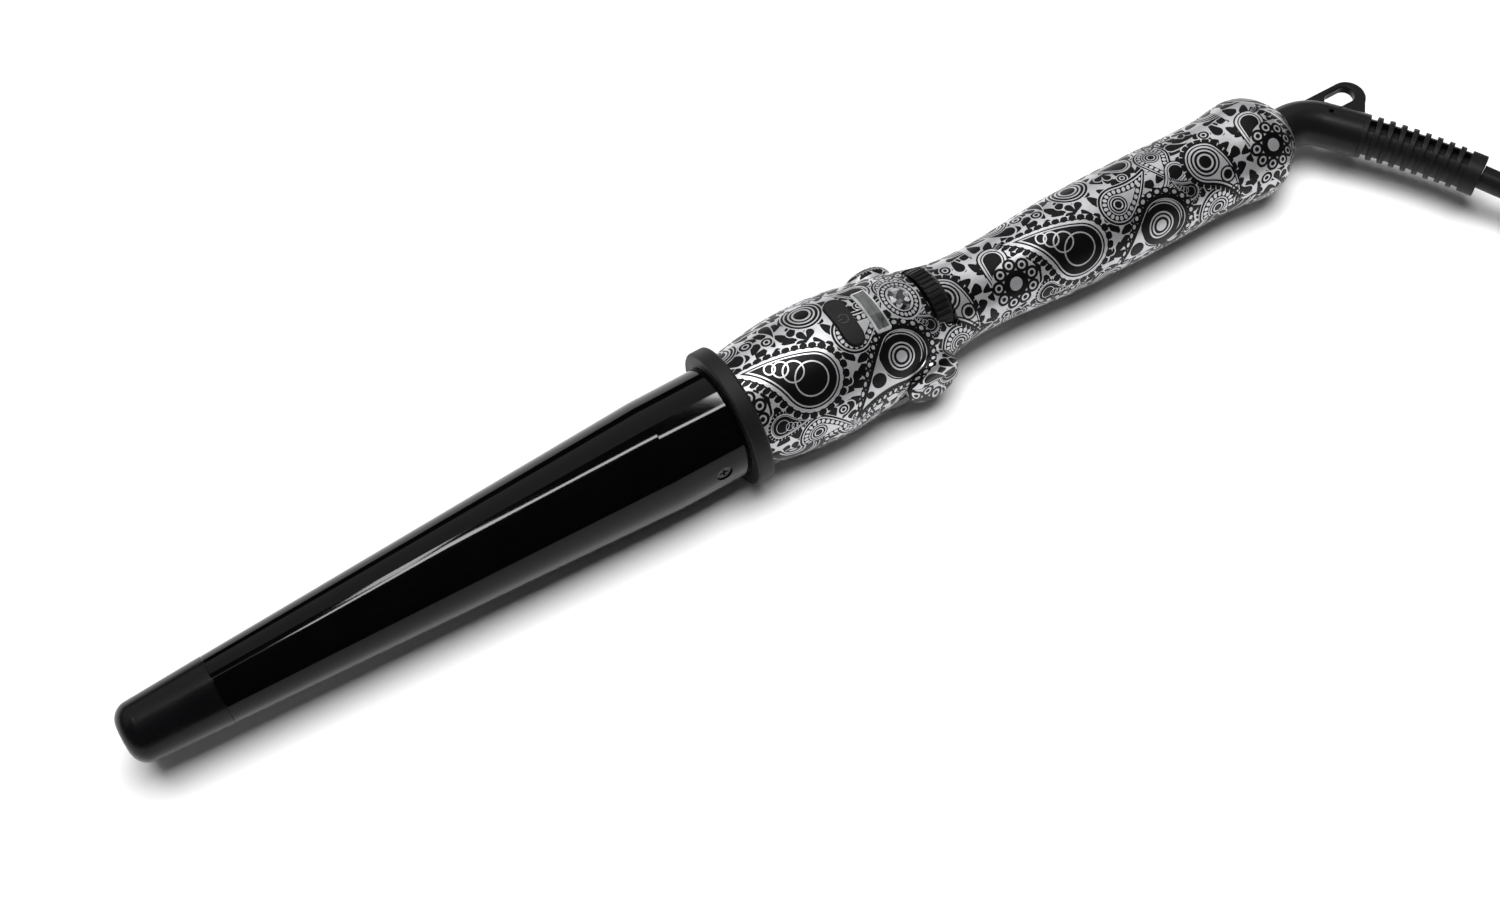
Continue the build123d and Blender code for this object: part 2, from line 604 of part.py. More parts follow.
def cord_in_relief():
    """Stretch of the cord that runs inside the strain relief."""
    return sweep(relief_spot(0.1) * Circle(CORD_R), path=relief_path(0.1, RELIEF_L))


# ---- cord, coil and plug ----------------------------------------------------------------------------
# Straight up from here, points are already placed: z = 0 is the surface under the wand.
def handle_place():
    return Pos(0, 0, GUARD_R) * Rot(0, DROOP, 0)


COIL_REST = CORD_R + TIE_T
COIL_OUT = COIL_R + LAYER_TURNS * COIL_PITCH / 2
COIL_IN = COIL_R - LAYER_TURNS * COIL_PITCH / 2
COIL_TOP = COIL_REST + CORD_R + (COIL_LAYERS - 1) * CORD_D
TOP_TURN = COIL_TOP - CORD_R
LEAD_END = COIL_Y - COIL_OUT
LEAD_POINTS = [(236.9, -57.9, 14.0), (248.8, -69.2, 10.6), (267.1, -76.6, 6.7), (297.0, LEAD_END - 0.2, 4.6),
               (COIL_X, LEAD_END, COIL_REST)]

# The cord's far end makes a half turn on top of the coil and enters the plug, which lies there.
OVER_X, OVER_Y = COIL_X, COIL_Y + COIL_OUT - OVER_R
PLUG_X, PLUG_Y, PLUG_Z = COIL_X + 1.5, OVER_Y - OVER_R, COIL_TOP + PLUG_T / 2
OVER_STEP = pi / 5
OVER_RISE = [26.2, 30.2, 33.4, 35.2, PLUG_Z - 0.05]
OVER_RUN = OVER_R * tan(OVER_STEP / 2)


def cord_tube(name, points):
    """A cord tube whose arcs are as large as the runs beside them allow."""
    lengths = [(Vector(*b) - Vector(*a)).length for a, b in zip(points, points[1:])]
    radii = []
    for a, b, c, shorter in zip(points, points[1:], points[2:],
                                [min(pair) for pair in zip(lengths, lengths[1:])]):
        turn = (Vector(*b) - Vector(*a)).get_angle(Vector(*c) - Vector(*b))
        radii.append(0.45 * shorter / tan(radians(turn) / 2))
    path = FilletPolyline(*points, radius=radii)
    start = Plane(origin=path @ 0, z_dir=path % 0)
    tube = sweep(start * Circle(CORD_R), path=path)
    print(name, "radii", [round(r) for r in radii], "length", round(path.length, 1),
          "volume / (section x length)", round(tube.volume / (pi * CORD_R ** 2 * path.length), 3))
    return tube, path.length


def lead_start():
    """Where the cord leaves the strain relief, placed."""
    spot = handle_place() * Pos(relief_spot(RELIEF_L).origin)
    point = spot.position
    return (point.X, point.Y, point.Z)


def mains_cord():
    return cord_tube("mains_cord", [lead_start()] + LEAD_POINTS)


def tail_points():
    """Points of the half turn over the coil, from inside its top layer into the plug's bore."""
    points = [(OVER_X + OVER_RUN, OVER_Y + OVER_R, TOP_TURN)]
    for step, z in enumerate(OVER_RISE):
        angle = pi / 2 + (step + 0.5) * OVER_STEP
        reach = OVER_R / cos(OVER_STEP / 2)
        points.append((OVER_X + reach * cos(angle), OVER_Y + reach * sin(angle), z))
    return points + [(OVER_X + OVER_RUN, PLUG_Y, PLUG_Z)]


def cord_tail():
    return cord_tube("cord_tail", tail_points())


def cord_coil():
    """Outer shape of the coil."""
    depth = COIL_TOP - TIE_T
    ring = Cylinder(COIL_OUT + CORD_R, depth) - Cylinder(COIL_IN - CORD_R, depth + 1)
    return Pos(COIL_X, COIL_Y, TIE_T + depth / 2) * ring


def cord_tie():
    """Strap round the coil's turns."""
    near = (COIL_IN - CORD_R) * cos(TIE_W / 2 / (COIL_IN - CORD_R)) - CLEAR / 4
    far = COIL_OUT + CORD_R
    outer = Box(far - near + 2 * TIE_T, TIE_W, COIL_TOP + TIE_T)
    outer = fillet(outer.edges().filter_by(Axis.Y), 2.0)
    inner = Box(far - near, TIE_W + 1, COIL_TOP - TIE_T)
    return Pos(COIL_X + (far + near) / 2, COIL_Y, (COIL_TOP + TIE_T) / 2) * (outer - inner)


def plug_frame():
    """Frame at the cord's entry into the plug, Z along the plug towards its pins."""
    return Plane(origin=(PLUG_X, PLUG_Y, PLUG_Z), x_dir=(0, 1, 0), z_dir=(1, 0, 0))


def plug_body():
    """Flat two-pin plug body with a short ribbed tail."""
    frame = plug_frame()
    front = frame.offset(PLUG_TAIL + PLUG_L)
    shoulder = frame.offset(PLUG_TAIL + PLUG_L - 12)
    rear = frame.offset(PLUG_TAIL)
    body = extrude(shoulder * SlotOverall(PLUG_W, PLUG_T), 12)
    body += loft([rear * SlotOverall(13.5, 10.5), shoulder * SlotOverall(PLUG_W, PLUG_T)])
    tail = loft([frame * Circle(CORD_R + 1.0), rear * Circle(5.2)])
    body += tail
    for step in range(4):
        body += extrude(frame.offset(1.0 + 3.4 * step) * Circle(5.0 + 0.18 * step), 1.7)
    for side in (-1, 1):
        root = front.offset(-SLEEVE_L) * Pos(side * PIN_SPACING / 2, 0)
        body -= extrude(root * Circle(SLEEVE_R), 2 * SLEEVE_L)
    return body - extrude(frame * Circle(CORD_R), OVER_X + OVER_RUN - PLUG_X)


def plug_pins():
    """Two solid contact pins with rounded ends and thinner roots."""
    face = plug_frame().offset(PLUG_TAIL + PLUG_L)
    pins = []
    for side in (-1, 1):
        spot = Pos(side * PIN_SPACING / 2, 0)
        pin = extrude(face.offset(SLEEVE_L) * spot * Circle(PIN_R), PIN_L - SLEEVE_L)
        pin = fillet(pin.edges().filter_by(GeomType.CIRCLE).sort_by(Axis.X)[-1], PIN_END)
        pins.append(pin + extrude(face.offset(-SLEEVE_L) * spot * Circle(PIN_ROOT_R), 2 * SLEEVE_L))
    return Compound(children=pins)


def sleeve(side):
    """Insulating sleeve round one pin's root, let into the body."""
    root = plug_frame().offset(PLUG_TAIL + PLUG_L - SLEEVE_L) * Pos(side * PIN_SPACING / 2, 0)
    return extrude(root * (Circle(SLEEVE_R) - Circle(PIN_ROOT_R)), 2 * SLEEVE_L)


def plug_sleeves():
    return Compound(children=[sleeve(-1), sleeve(1)])


# ---- placing and writing ---------------------------------------------------------------------------
def build():
    """Every node, placed on the surface z = 0 with x = 0 at the guard's front face."""
    barrel_nodes = {f.__name__: f() for f in (
        barrel, cool_tip, barrel_screws, barrel_seat, guard_ring, heater_plates, pressure_shoes,
        temperature_sensor, thermal_fuse, heater_leads)}
    blank = shell_blank()
    handle_nodes = {
        "handle_upper_shell": handle_upper_shell(blank),
        "handle_lower_shell": handle_lower_shell(blank)}
    handle_nodes.update({f.__name__: f() for f in (
        shell_screws, circuit_board, film_capacitor, triac, controller_chip, tact_switch, switch_plunger,
        power_button, display_module, display_lens, badge_jewel, potentiometer, dial_shaft,
        temperature_dial, stand_bail, stand_pins, swivel_bush, swivel_elbow, swivel_retainer, slip_rings,
        contact_brushes, brush_holder, supply_leads, strain_relief, cord_in_relief)})
    nodes = {name: Pos(0, 0, GUARD_R) * part for name, part in barrel_nodes.items()}
    nodes.update({name: handle_place() * part for name, part in handle_nodes.items()})
    lead, lead_length = mains_cord()
    tail, tail_length = cord_tail()
    turns = COIL_LAYERS * LAYER_TURNS
    coil_length = 2 * pi * COIL_R * turns - OVER_RUN
    print("cord length", round(lead_length + coil_length + tail_length), "of", CORD_LENGTH)
    nodes.update(mains_cord=lead, cord_tail=tail, cord_coil=cord_coil(), cord_tie=cord_tie(),
                 plug_body=plug_body(), plug_pins=plug_pins(), plug_sleeves=plug_sleeves())
    return nodes


CORD_NODES = ("strain_relief", "cord_in_relief", "mains_cord", "cord_tail", "cord_coil", "cord_tie",
              "plug_body", "plug_pins", "plug_sleeves")


def main():
    os.makedirs("parts", exist_ok=True)
    nodes = build()
    boxes = [part.bounding_box() for name, part in nodes.items() if name not in CORD_NODES]
    x_mid = (min(b.min.X for b in boxes) + max(b.max.X for b in boxes)) / 2
    y_mid = (min(b.min.Y for b in boxes) + max(b.max.Y for b in boxes)) / 2
    z_low = min(b.min.Z for b in boxes)
    print("origin at", round(x_mid, 3), round(y_mid, 3), round(z_low, 3))
    for name, part in nodes.items():
        export_step(Pos(-x_mid, -y_mid, -z_low) * part, f"parts/{name}.step")


main()
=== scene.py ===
import json
import math

import bmesh
import bpy
from mathutils import Matrix, Vector


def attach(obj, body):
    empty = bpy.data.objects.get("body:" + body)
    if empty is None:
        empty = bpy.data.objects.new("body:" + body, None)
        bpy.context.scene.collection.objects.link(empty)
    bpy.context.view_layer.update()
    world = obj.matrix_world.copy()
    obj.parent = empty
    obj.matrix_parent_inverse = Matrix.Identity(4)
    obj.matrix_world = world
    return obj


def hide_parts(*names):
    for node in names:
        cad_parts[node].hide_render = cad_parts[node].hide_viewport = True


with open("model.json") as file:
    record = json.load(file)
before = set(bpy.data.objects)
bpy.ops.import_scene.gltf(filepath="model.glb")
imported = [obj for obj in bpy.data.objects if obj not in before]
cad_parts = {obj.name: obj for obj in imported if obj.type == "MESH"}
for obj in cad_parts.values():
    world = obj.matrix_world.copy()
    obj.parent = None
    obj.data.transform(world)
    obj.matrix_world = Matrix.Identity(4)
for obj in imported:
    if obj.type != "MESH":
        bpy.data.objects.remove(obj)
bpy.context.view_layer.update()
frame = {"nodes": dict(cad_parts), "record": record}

# The part's frame is in metres with the floor at z = 0. The handle has its own frame, in millimetres
# along its axis from the front of the guard ring, and that axis droops a little.
X_MID = 0.022176                          # from the front of the guard ring to the part's origin
GUARD_R, LIFT = 0.020, 0.000151           # the ring's radius, and what its tilt adds to its height
FLOOR_UP = GUARD_R + LIFT                 # height of the handle's frame over the floor
DROOP = math.radians(1.5)
MM = 0.001


def placed(x, y, z):
    """A point of the handle's frame, in millimetres, as a point of the part's frame."""
    c, s = math.cos(DROOP), math.sin(DROOP)
    return Vector(((x * c + z * s) * MM - X_MID, y * MM, (-x * s + z * c) * MM + FLOOR_UP))


def put(obj):
    """Links a new object into the scene."""
    bpy.context.scene.collection.objects.link(obj)
    return obj


# ---- camera ----------------------------------------------------------------------------------------
CAMERA_AT = (-0.157068, -0.260514, 0.531439)
CAMERA_RIGHT = (0.855745, -0.516888, -0.022968)      # the camera's own axes
CAMERA_UP = (0.462433, 0.744169, 0.482046)
CAMERA_BACK = (-0.232072, -0.42313, 0.875845)
LENS_MM, SENSOR_MM = 52.342, 36.0
SHIFT = (0.0006, -0.0005)

camera = bpy.data.cameras.new("camera")
camera.sensor_fit = "HORIZONTAL"
camera.sensor_width = SENSOR_MM
camera.lens = LENS_MM
camera.shift_x, camera.shift_y = SHIFT
camera.clip_start, camera.clip_end = 0.01, 50.0
camera_object = put(bpy.data.objects.new("camera", camera))
aim = Matrix((CAMERA_RIGHT, CAMERA_UP, CAMERA_BACK)).transposed()
camera_object.matrix_world = Matrix.Translation(CAMERA_AT) @ aim.to_4x4()
bpy.context.scene.camera = camera_object

# ---- cord ------------------------------------------------------------------------------------------
# The lead runs from the strain relief to a round coil, whose layers wind inward and outward in turn. Its
# last half turn rises over the coil to the plug, which lies on top. Distances along x are from the front
# of the guard ring, and heights are before LIFT.
CORD_D, CORD_LENGTH = 0.007, 2.5
TIE_T, PLUG_T = 0.0008, 0.0137
COIL_R, COIL_PITCH, COIL_LAYERS, LAYER_TURNS = 0.03768, 0.0072, 4, 2.375
COIL_X, COIL_Y = 0.3232, -0.031
COIL_REST = CORD_D / 2 + TIE_T            # height of the first layer's middle
COIL_OUT = COIL_R + LAYER_TURNS * COIL_PITCH / 2
COIL_IN = COIL_R - LAYER_TURNS * COIL_PITCH / 2
PER_TURN = 20                             # control points in each turn of the coil
CLIMB = 0.25                              # share of a turn in which the cord climbs to its next layer
PLUG_Z = COIL_REST + COIL_LAYERS * CORD_D - CORD_D / 2 + PLUG_T / 2
OVER_R, OVER_STEP = 0.0405, math.pi / 5   # the half turn's radius and the angle between its points
OVER_RISE = (0.0262, 0.0302, 0.0334, 0.0352, PLUG_Z - 0.00005)
LEAD = ((0.2288, -0.0434, 0.0148), (0.2369, -0.0579, 0.0140), (0.2488, -0.0692, 0.0106),
        (0.2671, -0.0766, 0.0067), (0.2970, COIL_Y - COIL_OUT - 0.0002, 0.0046))


def cord_points():
    """Control points of the whole cord, from the strain relief to the plug."""
    points = list(LEAD)
    count = round(COIL_LAYERS * LAYER_TURNS * PER_TURN)
    for step in range(count - 1):
        done = step / PER_TURN
        layer = min(int(done / LAYER_TURNS + 1e-9), COIL_LAYERS - 1)
        along = done - layer * LAYER_TURNS
        radius = COIL_OUT - along * COIL_PITCH if layer % 2 == 0 else COIL_IN + along * COIL_PITCH
        level = layer - 1 + min(1.0, along / CLIMB) if layer else 0.0
        angle = -math.pi / 2 + 2 * math.pi * done
        points.append((COIL_X + radius * math.cos(angle), COIL_Y + radius * math.sin(angle),
                       COIL_REST + level * CORD_D))
    middle = COIL_Y + COIL_OUT - OVER_R
    reach = OVER_R / math.cos(OVER_STEP / 2)
    for step, z in enumerate(OVER_RISE):
        angle = math.pi / 2 + (step + 0.5) * OVER_STEP
        points.append((COIL_X + reach * math.cos(angle), middle + reach * math.sin(angle), z))
    points.append((COIL_X + OVER_R * math.tan(OVER_STEP / 2), middle - OVER_R, PLUG_Z))
    return [Vector(p) + Vector((-X_MID, 0.0, LIFT)) for p in points]


def curve_piece(name, points, radius, looks):
    """A round tube along one smooth spline."""
    curve = bpy.data.curves.new(name, "CURVE")
    curve.dimensions = "3D"
    spline = curve.splines.new("NURBS")
    spline.points.add(len(points) - 1)
    for spot, point in zip(spline.points, points):
        spot.co = (*point, 1.0)
    spline.order_u = 3
    spline.use_endpoint_u = True
    spline.resolution_u = 8
    curve.bevel_depth = radius
    curve.bevel_resolution = 6
    curve.use_fill_caps = True
    curve.materials.append(looks)
    return put(bpy.data.objects.new(name, curve))


route = cord_points()
jacket = bpy.data.materials.new("lead_jacket")       # its nodes come with the other finishes
cord = curve_piece("mains_lead", route, CORD_D / 2, jacket)
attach(cord, "swivel")
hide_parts("mains_cord", "cord_tail", "cord_coil")


# ---- material nodes --------------------------------------------------------------------------------
class Graph:
    """Short calls for building a node tree."""

    def __init__(self, tree):
        self.tree = tree

    def node(self, kind, **settings):
        made = self.tree.nodes.new(kind)
        for name, value in settings.items():
            setattr(made, name, value)
        return made

    def wire(self, value, socket):
        if isinstance(value, bpy.types.NodeSocket):
            self.tree.links.new(value, socket)
        else:
            socket.default_value = value

    def math(self, operation, *values, clamp=False):
        made = self.node("ShaderNodeMath", operation=operation, use_clamp=clamp)
        for value, socket in zip(values, made.inputs):
            self.wire(value, socket)
        return made.outputs[0]

    def vector(self, operation, *values):
        made = self.node("ShaderNodeVectorMath", operation=operation)
        for value, socket in zip(values, made.inputs):
            self.wire(value, socket)
        return made.outputs["Value" if operation in ("LENGTH", "DISTANCE") else "Vector"]

    def combine(self, x, y, z=0.0):
        made = self.node("ShaderNodeCombineXYZ")
        for value, socket in zip((x, y, z), made.inputs):
            self.wire(value, socket)
        return made.outputs[0]

    def split(self, value):
        made = self.node("ShaderNodeSeparateXYZ")
        self.wire(value, made.inputs[0])
        return made.outputs

    def mix(self, share, a, b):
        made = self.node("ShaderNodeMix", data_type="FLOAT")
        for value, socket in zip((share, a, b), (made.inputs[0], made.inputs[2], made.inputs[3])):
            self.wire(value, socket)
        return made.outputs[0]

    def blend(self, share, a, b):
        made = self.node("ShaderNodeMix", data_type="RGBA")
        for value, socket in zip((share, a, b), (made.inputs[0], made.inputs[6], made.inputs[7])):
            self.wire(value, socket)
        return made.outputs[2]

    def place(self, value, x=0.0, y=0.0, turn=0.0, size=1.0, flip=1.0):
        """value seen from a motif's own frame."""
        made = self.node("ShaderNodeMapping", vector_type="TEXTURE")
        self.wire(value, made.inputs["Vector"])
        made.inputs["Location"].default_value = (x, y, 0)
        made.inputs["Rotation"].default_value = (0, 0, math.radians(turn))
        made.inputs["Scale"].default_value = (size * flip, size, 1)
        return made.outputs[0]

    def bands(self, value, low, edges, first):
        """1 or 0 by turns as value passes each edge, starting from first below the lowest."""
        span = edges[-1] - low + 1.0
        share = self.math("DIVIDE", self.math("SUBTRACT", value, low), span)
        made = self.node("ShaderNodeValToRGB")
        ramp = made.color_ramp
        ramp.interpolation = "CONSTANT"
        ramp.elements[0].color = (first, first, first, 1)
        ramp.elements[1].position = (edges[0] - low) / span
        ramp.elements[1].color = (1 - first, 1 - first, 1 - first, 1)
        tone = 1 - first
        for edge in edges[1:]:
            tone = 1 - tone
            ramp.elements.new((edge - low) / span).color = (tone, tone, tone, 1)
        self.wire(share, made.inputs[0])
        return made.outputs[0]

    def noise(self, value, scale, detail=2.0, dims="3D"):
        made = self.node("ShaderNodeTexNoise", noise_dimensions=dims)
        self.wire(value, made.inputs["Vector"])
        made.inputs["Scale"].default_value = scale
        made.inputs["Detail"].default_value = detail
        return made.outputs[0]


def group(name, outputs, build):
    """A node group of one vector input, filled in by build(graph, vector), which returns its outputs."""
    tree = bpy.data.node_groups.new(name, "ShaderNodeTree")
    tree.interface.new_socket("Vector", in_out="INPUT", socket_type="NodeSocketVector")
    for output in outputs:
        tree.interface.new_socket(output, in_out="OUTPUT", socket_type="NodeSocketFloat")
    graph = Graph(tree)
    start, end = graph.node("NodeGroupInput"), graph.node("NodeGroupOutput")
    for value, socket in zip(build(graph, start.outputs[0]), end.inputs):
        graph.wire(value, socket)
    return tree


# ---- printed pattern -------------------------------------------------------------------------------
# Each motif gives its ink, 1 for black and 0 for silver, and where it covers the ground. Millimetres. The
# edges of its bands are distances from its outline, less than 0 inside, or from a centre.
def teardrop(g, point, head, length, bend):
    """Signed distance to a bent teardrop with its head at the origin, and the way along its edge."""
    x, y, _ = g.split(point)
    up = g.math("MAXIMUM", y, 0.0)
    x = g.math("MULTIPLY_ADD", g.math("MULTIPLY", up, up), -bend, x)
    slope = head / length
    rise = slope / math.sqrt(1 - slope * slope)
    near = g.math("MULTIPLY_ADD", g.math("ABSOLUTE", x), -rise, y)
    spot = g.math("MINIMUM", g.math("MAXIMUM", near, 0.0), length)
    below = g.math("SUBTRACT", spot, y)
    reach = g.vector("LENGTH", g.combine(x, below))
    distance = g.math("SUBTRACT", reach, g.math("MULTIPLY_ADD", spot, -slope, head))
    angle = g.math("MULTIPLY", g.math("ARCTAN2", x, below), head)
    way = g.math("MULTIPLY_ADD", g.math("SIGN", x), spot, angle)
    return distance, way


def beads(g, distance, way, middle, pitch):
    """Distance from the nearest of the points in a row along a motif's edge."""
    share = g.math("SUBTRACT", g.math("FRACT", g.math("DIVIDE", way, pitch)), 0.5)
    spot = g.combine(g.math("MULTIPLY", share, pitch), g.math("SUBTRACT", distance, middle))
    return g.vector("LENGTH", spot)


def dots(g, distance, way, middle, pitch, radius):
    """1 inside round dots in a row along a motif's edge."""
    return g.math("LESS_THAN", beads(g, distance, way, middle, pitch), radius)


def spokes(g, point, count):
    """The point seen from the nearest of count spokes: along the spoke and across it."""
    x, y, _ = g.split(point)
    sector = 2 * math.pi / count
    angle = g.math("ARCTAN2", y, x)
    turned = g.math("ROUND", g.math("DIVIDE", angle, sector))
    share = g.math("MULTIPLY_ADD", turned, -sector, angle)
    reach = g.vector("LENGTH", point)
    return g.combine(g.math("MULTIPLY", reach, g.math("COSINE", share)),
                     g.math("MULTIPLY", reach, g.math("SINE", share)))


def ring(g, point, x, y, radius, half):
    """1 on a circle's line, which is half wide to each side."""
    return g.math("COMPARE", g.vector("DISTANCE", point, (x, y, 0)), radius, half)


def disc(g, point, x, y, radius):
    """1 inside a circle."""
    return g.math("LESS_THAN", g.vector("DISTANCE", point, (x, y, 0)), radius)


def chain_motif(g, point):
    """Black drop with a chain of light rings, in a light border with dark scallops."""
    distance, way = teardrop(g, point, head=8.2, length=19.5, bend=0.020)
    ink = g.bands(distance, -9, (-1.75, -1.4, -0.95, 0.0, 0.4), 1)
    ink = g.math("MAXIMUM", ink, dots(g, distance, way, middle=0.8, pitch=2.2, radius=0.98))
    for y, radius in ((0.2, 4.3), (5.2, 2.7), (8.4, 2.0), (10.9, 1.4)):
        ink = g.math("SUBTRACT", ink, ring(g, point, 0.02 * y * y - 0.2, y, radius, 0.19), clamp=True)
    return ink, g.math("LESS_THAN", distance, 1.7)


def ringed_motif(g, point):
    """Light drop with rings in its head and two dark dots in its tail, and a border of small loops."""
    distance, way = teardrop(g, point, head=8.3, length=19.5, bend=0.024)
    ink = g.bands(distance, -9, (-0.75, 0.55), 0)
    head = g.bands(g.vector("DISTANCE", point, (-0.2, 0.6, 0)), -1,
                   (1.7, 2.5, 3.0, 3.6, 4.1, 6.2, 6.5, 6.9), 0)
    head = g.math("MAXIMUM", head, ring(g, point, -0.9, -0.6, 6.9, 0.75))
    below = g.math("LESS_THAN", g.split(point)[1], 7.0)
    inner = g.math("MULTIPLY", g.math("LESS_THAN", distance, -0.95), below)
    ink = g.math("MAXIMUM", ink, g.math("MULTIPLY", head, inner))
    for x, y, radius in ((2.2, 9.9, 2.3), (4.6, 14.0, 1.2)):
        ink = g.math("MAXIMUM", ink, disc(g, point, x, y, radius))
    loops = g.math("COMPARE", beads(g, distance, way, middle=1.45, pitch=2.3), 0.95, 0.36)
    ink = g.math("MAXIMUM", ink, loops)
    return ink, g.math("LESS_THAN", distance, 2.5)


def beaded_motif(g, point):
    """Small drop with an eye in its head and a dark border of light beads."""
    distance, way = teardrop(g, point, head=4.9, length=12.0, bend=0.030)
    ink = g.bands(distance, -6, (-2.0, -0.3, 0.05, 0.7), 0)
    ink = g.math("SUBTRACT", ink, dots(g, distance, way, middle=-1.15, pitch=1.7, radius=0.62),
                 clamp=True)
    eye = g.bands(g.vector("LENGTH", point), -1, (1.0, 1.35, 1.9, 2.2, 2.6), 1)
    ink = g.math("MAXIMUM", ink, g.math("MULTIPLY", eye, g.math("LESS_THAN", distance, -2.1)))
    return ink, g.math("LESS_THAN", distance, 0.9)


def twin_motif(g, point):
    """Light drop with two ringed eyes."""
    distance, way = teardrop(g, point, head=6.2, length=15.5, bend=0.030)
    ink = g.bands(distance, -7, (-1.2, -0.75, -0.3, 0.45), 0)
    ink = g.math("MAXIMUM", ink, dots(g, distance, way, middle=0.75, pitch=2.1, radius=0.95))
    first = g.bands(g.vector("LENGTH", point), -1, (1.9, 2.5, 3.3, 3.8, 4.4), 1)
    ink = g.math("MAXIMUM", ink, g.math("MULTIPLY", first, disc(g, point, 0, 0, 4.4)))
    for x, y, radius in ((1.8, 7.6, 1.4), (5.2, 12.2, 0.75)):
        ink = g.math("MAXIMUM", ink, disc(g, point, x, y, radius))
        ink = g.math("MAXIMUM", ink, ring(g, point, x, y, radius + 0.85, 0.27))
    return ink, g.math("LESS_THAN", distance, 1.4)


def flower_motif(g, point):
    """Ring of nine ringed discs round a light dot."""
    reach = g.vector("LENGTH", point)
    rings = g.bands(g.vector("DISTANCE", spokes(g, point, 9), (5.4, 0, 0)), -1, (0.65, 1.15, 1.95), 1)
    centre = g.bands(reach, -1, (1.9, 3.7), 0)
    return g.math("MAXIMUM", rings, centre), g.math("LESS_THAN", reach, 7.3)


def eye_motif(g, point):
    """Rings round a dark dot."""
    reach = g.vector("LENGTH", point)
    return g.bands(reach, -1, (2.1, 2.7, 3.3, 3.8, 4.6, 5.0, 5.7), 1), g.math("LESS_THAN", reach, 6.1)


def small_eye_motif(g, point):
    """One light ring in a dark disc with a dark dot in its middle."""
    reach = g.vector("LENGTH", point)
    return g.bands(reach, -1, (0.7, 1.2, 2.0), 1), g.math("LESS_THAN", reach, 2.4)


def leaf_motif(g, point):
    """Small dark drop."""
    distance, _ = teardrop(g, point, head=2.0, length=6.4, bend=0.05)
    return g.math("LESS_THAN", distance, 0.0), g.math("LESS_THAN", distance, 0.5)


def lined_leaf_motif(g, point):
    """Dark drop with a light and a dark line along its edge."""
    distance, _ = teardrop(g, point, head=3.7, length=8.8, bend=0.05)
    return g.bands(distance, -4, (-1.1, -0.7, -0.35, 0.3), 1), g.math("LESS_THAN", distance, 0.8)


def sprig_motif(g, point):
    """Three small petals from one point."""
    x, y, _ = g.split(point)
    side = g.combine(g.math("ABSOLUTE", x), y)
    middle, _ = teardrop(g, g.place(point, 0, 3.4, 180), 1.35, 3.6, 0)
    outer, _ = teardrop(g, g.place(side, 2.7, 1.4, 115), 1.35, 3.4, 0.04)
    distance = g.math("MINIMUM", middle, outer)
    return g.math("LESS_THAN", distance, 0.0), g.math("LESS_THAN", distance, 0.45)


def halo_motif(g, point):
    """Oval dark band of light beads."""
    x, y, _ = g.split(point)
    flat = g.combine(x, g.math("DIVIDE", y, 1.25))
    reach = g.vector("LENGTH", flat)
    ink = g.bands(reach, -1, (3.55, 5.15), 0)
    spots = disc(g, spokes(g, flat, 24), 4.35, 0, 0.46)
    return g.math("SUBTRACT", ink, spots, clamp=True), g.math("LESS_THAN", reach, 5.6)


MOTIFS = {name: group(name, ("Ink", "Cover"), build) for name, build in (
    ("chain", chain_motif), ("ringed", ringed_motif), ("beaded", beaded_motif), ("twin", twin_motif),
    ("flower", flower_motif), ("eye", eye_motif), ("small_eye", small_eye_motif), ("leaf", leaf_motif),
    ("lined_leaf", lined_leaf_motif), ("sprig", sprig_motif), ("halo", halo_motif))}

HALO_AT = (56.2, 0.0)
ORDER = 1e-7                              # ties each motif to the one before, so they work in turn
REPEAT, REPEAT_FROM = 88.0, -6.0          # along the handle
ROUND, ROUND_FROM = 44.0, -31.0           # round the handle
ROUND_SHIFT = 41.0                        # along, for each repeat round the handle
LOWER_SHIFT = (37.0, 13.0)                # along and round, on the lower shell
SEED_SCALE, SEED_JITTER = 0.25, 0.7       # cells in a millimetre, and how unevenly they lie
SEED_R, SEED_SPREAD = 1.82, 0.3           # half a seed's length, and how much more the longest have
SEED_WIDTH, SEED_TAPER = 1.7, 0.45        # how many times longer than wide, and its change along a seed

